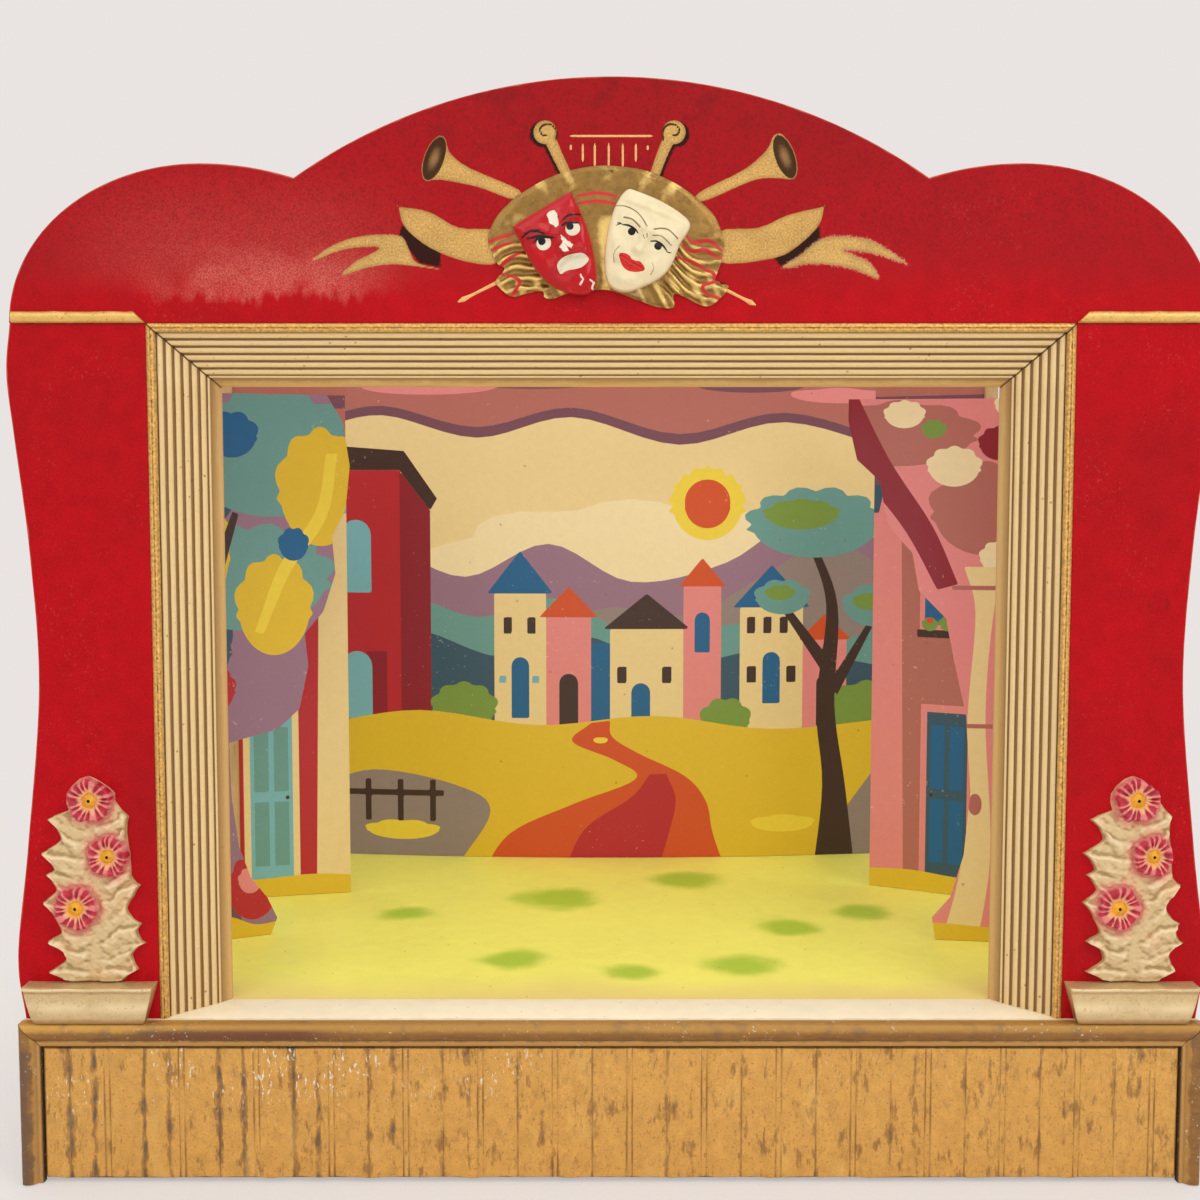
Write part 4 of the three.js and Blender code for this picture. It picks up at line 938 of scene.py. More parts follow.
def leaf_height(a, b, root, tip, wide, bend):
    """A cast leaf: along its bent middle line it swells to its widest and tapers to the tip; across,
    it climbs gently to a crest on the upper side and falls steeply beyond. -1 off the leaf."""
    root, tip = np.array(root, float), np.array(tip, float)
    run = tip - root
    long = np.linalg.norm(run)
    way = run / long
    up = np.array([-way[1], way[0]]) * (1 if way[0] > 0 else -1)
    along = ((a - root[0]) * way[0] + (b - root[1]) * way[1]) / long
    inside = np.clip(along, 0, 1)
    droop = bend * 4 * inside * (1 - inside) - bend * 0.5
    half = 0.8 * wide * np.sin(math.pi * np.clip(0.12 + 0.88 * inside ** 0.85, 0, 1)) ** 0.7 + 0.25
    across = ((a - root[0]) * up[0] + (b - root[1]) * up[1] + droop) / half
    crest = 0.42
    swell = np.where(across < crest, 1 - ((across - crest) / (1 + crest)) ** 2 * 0.75,
                     1 - ((across - crest) / (1 - crest)) ** 2)
    ends = smooth(along, -0.06, 0.2) * (1 - smooth(along, 0.94, 1.03))
    veins = 0.05 * np.sin(across * 9 + along * 5) * np.sin(math.pi * inside)
    height = (swell + veins) * ends * (0.72 + 0.28 * inside)
    return np.where(np.abs(across) < 1, height, -1)


def cast_relief(hand):
    """Cast flower relief as a height field: the highest of a rounded backing, leaves laid over one
    another, and three dished flowers with radial ridges and a domed eye, over a flat back."""
    leaf_rise, flower_rise = sizes().leaf_rise / MM, sizes().flower_rise / MM
    petals = sizes().petals
    up = np.linspace(0.0, RELIEF_HIGH, 236)
    left, right = leafy_edge(LEFT_TIPS, up), leafy_edge(RIGHT_TIPS, up)
    share = np.linspace(0, 1, 118)
    a = left[:, None] + (right - left)[:, None] * share
    b = np.broadcast_to(up[:, None], a.shape)
    rim = np.minimum(a - left[:, None], right[:, None] - a)
    rim = np.minimum(rim, np.minimum(b + 0.8, RELIEF_HIGH + 0.5 - b))
    height = 1.6 + 1.2 * smooth(rim, 0, 6)
    spot = np.stack([a, b], -1)
    bent_a, bent_b = a + 1.0 * ripple(spot, 16, 31), b + 1.9 * ripple(spot, 18, 47)
    for index, leaf in enumerate(LEAVES):
        blade = leaf_height(bent_a, bent_b, *leaf)
        tall = leaf_rise * (0.78 + 0.2 * math.sin(index * 2.1))
        height = np.where(blade > 0, np.maximum(height, 1.4 + blade * (tall - 1.4)), height)
    for _ in range(2):
        wide = np.pad(height, 1, mode="edge")
        height = (wide[:-2, 1:-1] + wide[2:, 1:-1] + wide[1:-1, :-2] + wide[1:-1, 2:] + 2 * height) / 6
    height = height + 0.3 * ripple(spot, 6, 21) * smooth(rim, 0, 3)
    bloom, ridge = np.full(a.shape, 3.0), np.zeros(a.shape)
    for index, (x, z, wide, tall) in enumerate(FLOWERS):
        turn = np.arctan2((b - z) / tall, (a - x) / wide)
        ray = np.hypot((a - x) / wide, (b - z) / tall)
        ray = ray / (1 + 0.05 * np.sin(turn * 5 + index) + 0.03 * np.sin(turn * petals))
        wave = np.sin(turn * petals + 1.7 * np.sin(turn * 3 + index * 2) + np.sin(turn * 7 + index)
                      + ray * 1.8)
        petal = 0.74 + 0.24 * smooth(ray, 0.3, 0.85) + 0.085 * wave * smooth(ray, 0.25, 0.6)
        eye = 0.62 + 0.34 * (1 - smooth(ray, 0.05, 0.36)) - 0.34 * (1 - smooth(ray, 0.02, 0.09))
        dish = np.where(ray < 0.33, np.maximum(eye, petal - 0.16), petal)
        dish = flower_rise * dish * (1 - 0.45 * smooth(ray, 0.86, 1.0))
        height = np.where(ray < 1, np.maximum(dish, height * 0.9), height)
        closer = ray < bloom
        ridge = np.where(closer, wave, ridge)
        bloom = np.minimum(bloom, ray)
    height = np.minimum(height, flower_rise) * (0.3 + 0.7 * smooth(rim, 0, 1.6))
    padded = np.pad(height, 4, mode="edge")
    blur = sum(padded[4 + i:len(padded) - 4 + i, 4 + j:padded.shape[1] - 4 + j]
               for i in (-4, -2, 0, 2, 4) for j in (-4, -2, 0, 2, 4)) / 25
    crease = np.clip((blur - height) * 1.1, -1, 1)
    around = closed_rows(a, a[:, -1:], a[:, :1])
    foot = DECK + PLANTER_HIGH + GAP
    spots = np.stack([hand * PLANTER_X + around, -closed_rows(height),
                      foot + np.broadcast_to(up[:, None], around.shape)], axis=-1)
    return Shell(spots, bloom=closed_rows(bloom, 3, 3), ridge=closed_rows(ridge),
                 crease=closed_rows(crease))


def planter_shell(hand):
    """A planter: its moulded section carried from end to end, wider towards the rim and drawn in at
    both ends, with marks for a painted highlight along its middle and on its rim, and for painted shade
    at its foot and under its rim."""
    out, up = np.concatenate([[(0.0, 0.0)], curve(PLANTER_SECTION, 5), PLANTER_RIM]).T
    ends = np.array([0, 0.004, 0.012, 0.03])
    t = np.concatenate([ends, np.linspace(0.06, 0.94, 34), [0.97, 0.988, 0.996, 1]])[:, None]
    drawn_in = 0.955 + 0.045 * smooth(np.minimum(t, 1 - t), 0, 0.015)
    half = PLANTER_HALF + PLANTER_SPREAD * up - 1.0 * np.exp(-up / 0.08)
    sway = 0.012 * np.sin(t * 7 + hand)
    x = hand * PLANTER_X + (2 * t - 1) * half
    y = -out * PLANTER_DEEP * (drawn_in - np.abs(sway))
    z = DECK + up * PLANTER_HIGH * (1 - 0.015 * np.abs(np.sin(t * 9))) + 0 * t
    # Painted highlight: a band along the middle and a line on the rim. Painted shade: darker towards the foot
    # and under the rim.
    glow = np.exp(-((up - 0.47) / 0.16) ** 2) + 0.8 * (np.abs(up - 0.955) < 0.035)
    return Shell(np.stack([x, y, z], axis=-1), high=np.minimum(glow, 1),
                 low=smooth(0.3 - up, 0, 0.3) + 0.6 * np.exp(-((up - 0.86) / 0.05) ** 2))


def plaster_paint():
    """Cream plaster with olive-brown painted shade in its creases and a painted highlight on its crests;
    flowers crimson between pale petal ridges and darkened by painted shade in their creases, with a
    yellow eye, a dark pin hole and pink overspray on the leaves round them."""
    c, f = colours(), Finish("cast_plaster_paint")
    fine, grit, broad = f.noise(5, 4), f.noise(1.0, 2, seed=1), f.noise(22, 2, seed=2)
    crease, bloom, ridge = f.mark("crease"), f.mark("bloom"), f.mark("ridge")
    plaster = f.shade(fine * 0.5 + grit * 0.5, c.plaster, 0.93, 1.07)
    # Painted shade: olive-brown in the creases; then a painted highlight on the crests
    plaster = f.mix(f.band(crease + (broad - 0.5) * 0.35, -0.02, 0.6) * 0.8, plaster, rgb(150, 120, 68))
    plaster = f.mix(f.band(crease, -0.1, -0.7) * 0.5, plaster, rgb(246, 226, 188))
    plaster = f.mix(f.band(broad, 0.52, 0.75) * 0.3, plaster, rgb(236, 180, 136))
    spray = f.band(bloom + (grit - 0.5) * 0.3 + (fine - 0.5) * 0.2, 1.45, 1.0)
    plaster = f.mix(spray * 0.5, plaster, rgb(226, 106, 110))
    streak = f.band(ridge + (grit - 0.5) * 1.3 + (fine - 0.5) * 1.4, -0.1, 0.85)
    petal = f.mix(streak * 0.56, f.shade(fine, c.petal, 0.75, 1.2), rgb(236, 160, 148))
    # Painted shade in the petals' creases
    petal = f.mix(f.band(crease, 0.05, 0.5) * 0.6, petal, rgb(122, 16, 40))
    petal = f.mix(f.band(bloom, 0.9, 0.99) * 0.45, petal, rgb(240, 158, 150))
    rays = (fine - 0.5) * 0.3 + ridge * 0.07
    petal = f.mix(f.band(bloom - rays, 0.62, 0.42) * 0.75, petal, rgb(240, 178, 128))
    eye = f.shade(fine, rgb(232, 166, 26), 0.78, 1.12)
    petal = f.mix(f.band(bloom - rays + (grit - 0.5) * 0.1, 0.42, 0.26), petal, eye)
    petal = f.mix(f.band(bloom, 0.085, 0.06), petal, rgb(40, 26, 10))
    paint = f.mix(f.band(bloom, 1.01, 0.98), plaster, petal)
    return f.done(paint, rough=0.5 + (fine - 0.5) * 0.3, normal=f.bump(grit * 0.4 + fine * 0.6, 0.25, 0.6),
                  Specular_IOR_Level=0.45)


# Plaque outline from its middle, in millimetres, anticlockwise from the right
PLAQUE_RIM = [
    (67.7, -1.6), (65.9, -11.4), (62.8, -22.5), (70.3, -25), (65.9, -31.6), (56.9, -36.6), (39.6, -29.5),
    (38.6, -37.1), (29.6, -37.1), (16.5, -32.6), (4.4, -28.1), (-5.7, -27.1), (-19.7, -28.5),
    (-30.9, -32.1), (-35.9, -31.6), (-37.4, -28.1), (-46, -29.1), (-55, -31.1), (-63.1, -25), (-64.2, -22),
    (-59.1, -15.4), (-63.1, -12.4), (-66.2, -6.4), (-68.7, 2.7), (-63.9, 13.8), (-56.6, 21.9),
    (-48.9, 27.9), (-32, 37.1), (-14.7, 42), (1.4, 43.2), (21.5, 40.7), (39.8, 33), (52.8, 23.9),
    (61.9, 14.8), (66.4, 4.8),
]
PLAQUE_X, PLAQUE_Z = -2.5, 556.7
# Red lines painted on the plaque's drapes, in the facade's millimetres (above the deck)
DRAPE_LINES = (
    [(-19.5, 484.6), (-8, 486.2), (3, 484.4)], [(-19, 480.2), (-8, 481.6), (3.5, 480)],
    [(-72, 458.4), (-64, 461), (-56.4, 463)], [(-69.6, 453.7), (-63, 456.5), (-56.4, 458.3)],
    [(-51.8, 452.6), (-58, 449.6), (-63.5, 445), (-65, 442), (-62, 439.9)],
    [(-59.9, 439.9), (-54, 437.5), (-53, 434.8), (-56, 430), (-59.3, 426.1)],
    [(43.6, 461.8), (46, 458.9), (50, 458.4), (55, 459.4), (59.2, 457.8), (63.8, 453.7)],
    [(41.3, 457.2), (44, 454), (47.6, 453.2), (54, 454), (58, 451.6), (63.2, 449.7)],
    [(37.8, 449.7), (46, 447.4), (54, 443), (59.2, 440.5), (59.2, 436), (53.4, 434.1), (53, 431.5),
     (55.7, 428.9), (61, 427), (66.1, 424.9)])


def plaque_shell():
    """Draped plaque on a polar grid: a domed shield whose lower corners break into slanting folds,
    with a raised pleat between the masks, a rolled rim and a flat back; its crest mark places a painted
    highlight on the folds and the pleat."""
    rim = curve(PLAQUE_RIM, 10, closed=True)
    share = (np.linspace(0, 1, 56) ** 0.8)[:, None]
    x, z = share * rim[:, 0], share * rim[:, 1]
    lower = smooth(-z, -9, 6)
    outer = smooth(np.abs(x), 26, 42)
    phase = np.where(x > 0, z * 0.86 + x * 0.5 + 3 * np.sin(x * 0.16),
                     z * 0.95 - x * 0.34 + 3 * np.sin(x * 0.14))
    folds = np.sin(phase * 1.05 + 0.8 * ripple(np.stack([x, z], -1), 30, 4)) * lower * outer
    pinch = np.sin(np.arctan2(z, x) * 13 + 1.5 * np.sin(x * 0.11))
    pinch = pinch * smooth(share, 0.55, 0.95) * smooth(z, 2, 16)
    slant = np.sin((x * 0.9 + z * 0.5) * 0.62) * smooth(-z, 14, 26) * smooth(np.abs(x), 8, 20)
    pleat = np.exp(-((x - 1.2 - 0.06 * z) / (2.2 + 0.16 * (z + 32).clip(0))) ** 2) * smooth(-z, -24, -6)
    dent = ripple(np.stack([x, z], -1), 16, 9) * (0.35 + 0.5 * smooth(np.hypot(x, z), 20, 40))
    height = (2.1 + 1.5 * (1 - share ** 2.2) + 1.0 * folds + 0.75 * slant + 1.0 * pleat
              + 0.45 * pinch + 0.28 * dent) * (0.55 + 0.45 * (1 - smooth(share, 0.93, 1.0)))
    height = np.clip(height, 0.9, 3.85 + 0.9 * smooth(np.abs(x), 40, 50))
    spots = np.stack([(x + PLAQUE_X).ravel(), (z + PLAQUE_Z - DECK).ravel()], axis=1)
    red = np.min([brush_line(spots, line, 1.05, 0.5) for line in DRAPE_LINES], axis=0).reshape(x.shape)
    hole = disc(spots, (0, 498.5), (0.9, 0.9)).reshape(x.shape)
    # Where the paint puts its painted highlight: crests of the folds, slants, pinches and the pleat
    crest = np.clip(0.5 + 0.5 * np.maximum.reduce([folds, slant, pinch * 0.8, pleat * 1.8 - 0.5]), 0, 1)
    x, z = (np.concatenate([values, values[-1:], values[:1]]) for values in (x, z))
    far, flat = np.full((2, len(rim)), 5.0), np.zeros((2, len(rim)))
    return Shell(np.stack([x + PLAQUE_X, -np.concatenate([height, flat]), z + PLAQUE_Z], axis=-1),
                 red=np.concatenate([red, far]), hole=np.concatenate([hole, far]),
                 crest=np.concatenate([crest, flat]))


def plaque_paint():
    """Bronze paint with a painted highlight on the crests of the drapes and painted shade in their hollows,
    with red lines and a nail hole.
    """
    c, f = colours(), Finish("draped_plaque_paint")
    fine, grit, broad = f.noise(4.5, 4), f.noise(0.8, 2, seed=1), f.noise(24, 3, seed=2)
    gilt = f.shade(fine * 0.6 + grit * 0.4, c.plaque, 0.66, 1.26)
    # Painted highlight on the crests of the drapes
    crest = f.band(f.mark("crest") + (broad - 0.5) * 0.9 + (fine - 0.5) * 0.5, 0.6, 1.05)
    gilt = f.mix(crest * 0.75, gilt, rgb(236, 202, 120))
    # Painted shade in the hollows between the drapes
    gilt = f.mix(f.band(f.mark("crest") + (fine - 0.5) * 0.5, 0.46, 0.05) * 0.75, gilt, rgb(92, 68, 30))
    worn = f.band(f.noise(7, 3, seed=3), 0.6, 0.7) * f.band(f.axis("Z"), 545, 525)
    gilt = f.mix(worn * 0.5, gilt, rgb(206, 188, 150))
    red = f.band(f.mark("red") + (fine - 0.5) * 0.5, 0.2, -0.15)
    gilt = f.mix(red, gilt, rgb(196, 26, 16))
    gilt = f.mix(f.band(f.mark("hole"), 0.1, -0.2), gilt, rgb(10, 8, 6))
    return f.done(gilt, rough=0.33 + (fine - 0.5) * 0.4 + red * 0.15, metal=0.66 - red * 0.66,
                  normal=f.bump(fine * 0.7 + grit * 0.3, 0.4, 0.9))


MASK_BACK, MASK_LIFT_LIMIT = 3.9, 10.7  # from the facade to a mask's back, and the most above that
# Masks: outline and painted features from the mask's middle, right and up in millimetres
FROWNING = {
    "centre": (-27.6, SEAM + 40), "lean": 26.0,
    "rim": [(18.9, 13.6), (19, 27), (18, 28.9), (0, 27.6), (-18.6, 25.9), (-20, 24.4), (-19.9, 10.5),
            (-18.3, -5), (-12.3, -17.7), (-1.8, -26.3), (5, -27.4), (10.4, -22.7), (14.9, -10.2),
            (17.6, 0.8)],
    "black": [([(-18, 16.9), (-12.7, 17.7), (-8.6, 16), (-5.4, 12.6)], 0.8),
              ([(-15.4, 14.7), (-10.5, 13.5), (-6.5, 11.6), (-1.9, 8.5)], 0.8),
              ([(7.2, 15.1), (11.5, 16), (17.9, 14.1)], 0.6),
              ([(4.9, 12.5), (9.3, 12.8), (14.8, 10.1)], 0.55),
              ([(-13.5, 11.1), (-8.6, 12.3), (-3.7, 9.9)], 0.6)],
    "pupils": [(-8.6, 9.9, 2.1), (9.5, 10.5, 2.0)],
    "whites": [(-8.1, 8.4, 4.2, 3.9), (10.4, 8.6, 4.2, 3.9)],
    "white": [[(-6.2, -5.4), (-0.6, -3.8), (8.3, -5.7), (11, -8.9), (10.3, -11.6), (4.7, -13.1),
               (-3, -11.2), (-6.8, -11.5), (-7.4, -9.1)]],
    "chips": [[(0.4, 22.7), (2.9, 23.3), (5.8, 23.1), (6, 19.3), (4.4, 14), (2, 12.7), (0, 17.4)],
              [(-1.1, 2.6), (2, 4.1), (3.1, 1.1), (2.8, -1.8), (-0.1, -1.6)],
              [(2.6, 8.4), (6.5, 0.4), (4.6, -1.6), (3.4, 0.6), (1.8, 5.6)]],
    "flakes": [[(3, -16.6), (3.2, -19.8), (0.6, -21.5)],
               [(6.7, -21.5), (8, -23.9), (5.8, -25.9), (6.5, -28.1)]],
    "red": [], "brown": [],
}
SMILING = {
    "centre": (16.5, SEAM + 41.3), "lean": -20.8,
    "rim": [(22.4, 19.7), (21.2, 24.5), (14.1, 27.7), (1.5, 30), (-12.8, 30.4), (-19.3, 28.8), (-22.2, 18),
            (-20.9, 2.1), (-17.7, -10.9), (-13.3, -21), (-7.8, -26), (0.3, -25.8), (7.8, -20.7),
            (16.9, -10.7), (20.3, -1.1), (20.5, 10.7)],
    "black": [([(-14, 8.8), (-10.8, 9.6), (-7, 9), (-4.2, 7.4)], 0.5),
              ([(-17.7, 6.8), (-15.7, 8.7), (-13.8, 8.9)], 0.3),
              ([(-17.7, 8.6), (-15.4, 9.4)], 0.3), ([(4.2, 5.7), (7.4, 6.9), (11, 6.2), (14.9, 3.9)], 0.5),
              ([(14.6, 3.2), (17.5, 3.9)], 0.3)],
    "pupils": [(-7.9, 7.0, 2.1), (9, 4.7, 2.1)],
    "whites": [],
    "white": [], "chips": [], "flakes": [],
    "red": [[(-10.1, -7.6), (-7.2, -6), (-4.1, -6.3), (-2.5, -7.5), (-0.1, -7.7), (2.7, -7.3), (5.7, -9.1),
             (6.7, -11), (3.7, -13.1), (-0.5, -14.4), (-4.2, -14), (-7.4, -11.7)]],
    "brown": [([(-22.1, 17.7), (-15.6, 19.1), (-9.3, 18.2), (-4.2, 15.5), (-0.8, 12.6)], 0.34),
              ([(-14.9, 12.8), (-9.8, 13.3), (-4.4, 10.9)], 0.45),
              ([(3.6, 12.5), (7.3, 14.5), (11.8, 15.1), (18, 12.7)], 0.42),
              ([(4.2, 9), (8.9, 10.4), (16.1, 7.6)], 0.3), ([(-1.1, 7.2), (0.4, 5.6)], 0.25),
              ([(0.7, 8.7), (1.4, 6.7)], 0.25), ([(-11.5, -3.2), (-13, -7.9), (-11, -13.1)], 0.2),
              ([(9.2, -5.4), (11.2, -8.1), (10.9, -11.8)], 0.2)],
}


def mask_shell(look, frowning):
    """A mask on a polar grid: a shield that bulges from a thick rim, with brows, nose, cheeks, eye
    hollows, mouth and a rolled top edge as smooth hills, and paint marks as signed distances."""
    rise = sizes().mask_rise / MM
    rim = curve(look["rim"], 18, closed=True)
    share = (np.linspace(0, 1, 92) ** 0.9)[:, None]
    a, b = share * rim[:, 0], share * rim[:, 1]
    spots = np.stack([a.ravel(), b.ravel()], axis=1)

    def hill(x, z, wide, tall):
        """A smooth round hill, 1 at its top."""
        return np.exp(-(((a - x) / wide) ** 2 + ((b - z) / tall) ** 2))

    def ridge(line, wide):
        """A smooth ridge along a curve, 1 on its crest."""
        away = np.maximum(stroke(spots, curve(line, 6), 0, 30), 0)
        return np.exp(-(away / wide) ** 2).reshape(a.shape)

    bulge = np.sqrt(np.maximum(0, 1 - share ** 4.5)) * (0.86 - 0.1 * smooth(b, 5, 28)) + 0.0 * a
    if frowning:
        face = (0.3 * ridge([(-17, 15), (-9, 16), (-3, 12)], 3.0)
                + 0.3 * ridge([(3, 12), (10, 16.5), (16, 14.5)], 3.0)
                + 0.34 * ridge([(0.5, 12), (1.2, 3), (1.5, -1)], 3.2) + 0.2 * hill(1.4, -0.6, 4.4, 2.8)
                + 0.14 * hill(-11, -2, 5, 6) + 0.14 * hill(12, -1, 4, 6) + 0.2 * hill(4, -20, 6, 5)
                - 0.26 * hill(-8.4, 9, 5, 4.2) - 0.26 * hill(10, 9, 5, 4.2)
                + 0.22 * hill(-8.2, 8.8, 3.4, 3.2) + 0.22 * hill(10.2, 9, 3.4, 3.2)
                - 0.2 * ridge([(-5, -9), (2, -8), (9, -9)], 2.6)
                + 0.14 * ridge([(-8, -8), (1, -3.4), (11, -7)], 1.6))
    else:
        face = (0.2 * ridge([(-15, 14), (-9, 15), (-4, 12)], 3.4)
                + 0.2 * ridge([(4, 11), (9, 13), (15, 10)], 3.4)
                + 0.3 * ridge([(0.6, 10), (-0.2, 2), (-0.8, -1)], 2.6) + 0.16 * hill(-0.9, -1.4, 3.8, 2.4)
                + 0.24 * hill(-11, -3.5, 5.5, 5) + 0.24 * hill(9.5, -6, 5, 5) + 0.2 * hill(-3, -20, 6, 4.5)
                - 0.18 * hill(-9, 7.4, 5, 3.6) - 0.18 * hill(9, 4.8, 5, 3.6)
                + 0.2 * ridge([(-9, -8.4), (-2, -9.6), (5.6, -11)], 3.0)
                - 0.12 * ridge([(-8.4, -8.6), (-2, -10), (5, -11)], 0.7)
                + 0.2 * smooth(b, 20.5, 23.5))
    inner = 1 - smooth(share, 0.72, 0.97)
    height = 2.6 * (0.25 + 0.75 * (1 - smooth(share, 0.975, 1.0))) + rise * (bulge + face * inner)
    paint = {
        "black": [disc(spots, pupil[:2], (pupil[2], pupil[2])) for pupil in look["pupils"]]
                 + [brush_line(spots, line, half) for line, half in look["black"]],
        "brown": [stroke(spots, curve(line, 6), half) for line, half in look["brown"]],
        "red": [area(spots, curve(shape, 4, closed=True)) for shape in look["red"]],
        "white": [area(spots, curve(shape, 4, closed=True)) for shape in look["white"]]
                 + [disc(spots, eye[:2], eye[2:]) for eye in look["whites"]],
        "chips": [area(spots, shape) for shape in look["chips"]]
                 + [stroke(spots, line, 0.5) for line in look["flakes"]],
    }
    marks = {name: (np.min(parts, axis=0) if parts else np.full(len(spots), 6.0)).reshape(a.shape)
             for name, parts in paint.items()}
    height = height - 0.35 * smooth(-marks["chips"], -0.1, 0.4)
    far, flat = np.full((2, len(rim)), 6.0), np.zeros((2, len(rim)))
    marks = {name: np.concatenate([values, far]) for name, values in marks.items()}
    marks["rim"] = np.concatenate([np.broadcast_to(share, a.shape), flat + 1])
    a, b = (np.concatenate([values, values[-1:], values[:1]]) for values in (a, b))
    cos, sin = math.cos(math.radians(look["lean"])), math.sin(math.radians(look["lean"]))
    x, z = look["centre"]
    lift = np.minimum(np.concatenate([height, flat]), MASK_LIFT_LIMIT) + MASK_BACK
    return Shell(np.stack([x + a * cos - b * sin, -lift, z + a * sin + b * cos], axis=-1), **marks)


def mask_paint(name, base, side):
    """Glossy brushed enamel with painted features, pale chips down to the plaster, dust, and a paler rim
    that is partly wear and partly a painted highlight.
    """
    f = Finish(name)
    fine, grit, broad = f.noise(5, 3), f.noise(0.7, 2, seed=1), f.noise(18, 3, seed=2)
    paint = f.shade(fine * 0.5 + broad * 0.5, base, 0.86, 1.1)
    # Paler towards the rim: partly wear, partly a painted highlight on the bevelled edge
    paint = f.mix(f.band(f.mark("rim"), 0.93, 1.0) * 0.3, paint, side)
    paint = f.mix(f.band(f.noise(8, 4, seed=3), 0.6, 0.74) * 0.28, paint, side)
    wobble = (fine - 0.5) * 0.35
    paint = f.mix(f.band(f.mark("brown") + wobble, 0.16, -0.14) * 0.85, paint, rgb(104, 52, 30))
    paint = f.mix(f.band(f.mark("red") + wobble, 0.12, -0.12), paint,
                  f.shade(fine, rgb(204, 26, 22), 0.85, 1.1))
    paint = f.mix(f.band(f.mark("white") + wobble, 0.12, -0.12), paint,
                  f.shade(broad, rgb(226, 216, 188), 0.88, 1.06))
    chip = f.band(f.mark("chips") + (f.noise(1.6, 3, seed=4) - 0.5) * 1.6, 0.1, -0.12)
    paint = f.mix(chip, paint, f.shade(grit, rgb(232, 222, 200), 0.85, 1.08))
    black = f.band(f.mark("black") + wobble, 0.26, -0.08)
    paint = f.mix(black, paint, rgb(14, 10, 10))
    return f.done(paint, rough=0.2 + (fine - 0.5) * 0.2 + chip * 0.5,
                  normal=f.bump(fine * 0.8 + grit * 0.2, 0.25, 0.5),
                  coat=(1 - chip) * 0.26, Coat_Roughness=0.12, Specular_IOR_Level=0.16)


class THEATRE_OT_cast_ornament(bpy.types.Operator):
    """Planters, cast flower reliefs, the draped plaque and its two masks"""
    bl_idname = "theatre.cast_ornament"
    bl_label = "Cast Ornament"

    def execute(self, context):
        c = colours()
        plaster = plaster_paint()
        # The planter's high and low marks carry its painted highlight and painted shade
        pale = gilded("planter_gilt", c.pale_gilt, rgb(168, 128, 78), rgb(236, 214, 168), 0.35, metal=0.4,
                      marks=("high", "low"), grain=0.8)
        for side, hand in HANDS:
            piece("cast_flowers_" + side, [cast_relief(hand)], "stage", plaster,
                  ["flower_relief_" + side], sharp=70)
            piece("gilt_planter_" + side, [planter_shell(hand)], "stage", pale,
                  ["planter_" + side], sharp=50)
        piece("draped_plaque", [plaque_shell()], "header", plaque_paint(), ["mask_plaque"],
              sharp=60)
        # Each mask's second colour is for its dust and its paler rim, partly a painted highlight
        piece("frowning_mask", [mask_shell(FROWNING, True)], "header",
              mask_paint("mask_red_enamel", c.mask_red, rgb(226, 92, 84)), ["tragedy_mask"], sharp=60)
        piece("smiling_mask", [mask_shell(SMILING, False)], "header",
              mask_paint("mask_ivory_enamel", c.mask_ivory, rgb(240, 206, 176)), ["comedy_mask"], sharp=60)
        return {"FINISHED"}


# Stage box

BOX_MOULDING = np.array([(0, 0.70), (0.04, 0.84), (0.12, 0.95), (0.3, 1), (0.48, 0.95), (0.62, 0.82),
                         (0.72, 0.66), (0.76, 0.58), (0.8, 0.6), (0.9, 0.62), (0.97, 0.56), (1, 0.48)])
MOULDING_OUT, MOULDING_HIGH, MOULDING_WIDE = 9.0, 14.5, 12.5
GROOVE_PITCH, TWIN = 22.3, 3.2
PANEL_HALF = BOX_HALF - MOULDING_WIDE - 1.2
TOE, RIBBED_TOP, RIBBED_THICK = 2.0, 82.3, 4.0
BEARER_WIDE, BEARER_HIGH = 20.0, 22.0


def both(name, side_low, side_high):
    """Low and high corners of a piece and of its mirror image."""
    (ax, ay, az), (bx, by, bz) = side_low, side_high
    return [(name + "_left", (-bx, ay, az), (-ax, by, bz)), (name + "_right", (ax, ay, az), (bx, by, bz))]


def groove_depths(x):
    """Depth share of the ribbed panel's grooves: rounded notches, single and twin by turns."""
    place = x / GROOVE_PITCH - 0.5
    near = np.round(place)
    off = (place - near) * GROOVE_PITCH
    single = np.exp(-(off / 0.7) ** 2)
    twin = np.exp(-((np.abs(off) - TWIN / 2) / 0.65) ** 2)
    return np.where(near % 2 != 0, single, twin)


def stained_ribs(x):
    """Share of stain across the ribbed panel: beside every other groove and between the pairs,
    heavy over the left third and faint beyond it."""
    place = x / GROOVE_PITCH - 0.5
    odd = np.floor(place / 2) * 2 + 1
    beside = np.exp(-((place - odd) * GROOVE_PITCH / 2.3) ** 2)
    between = np.exp(-((place - odd - np.where(place > odd, 0.66, -1.34)) * GROOVE_PITCH / 2.0) ** 2)
    return np.maximum(beside, between) * (0.34 + 0.5 * smooth(-x, 75, 200))


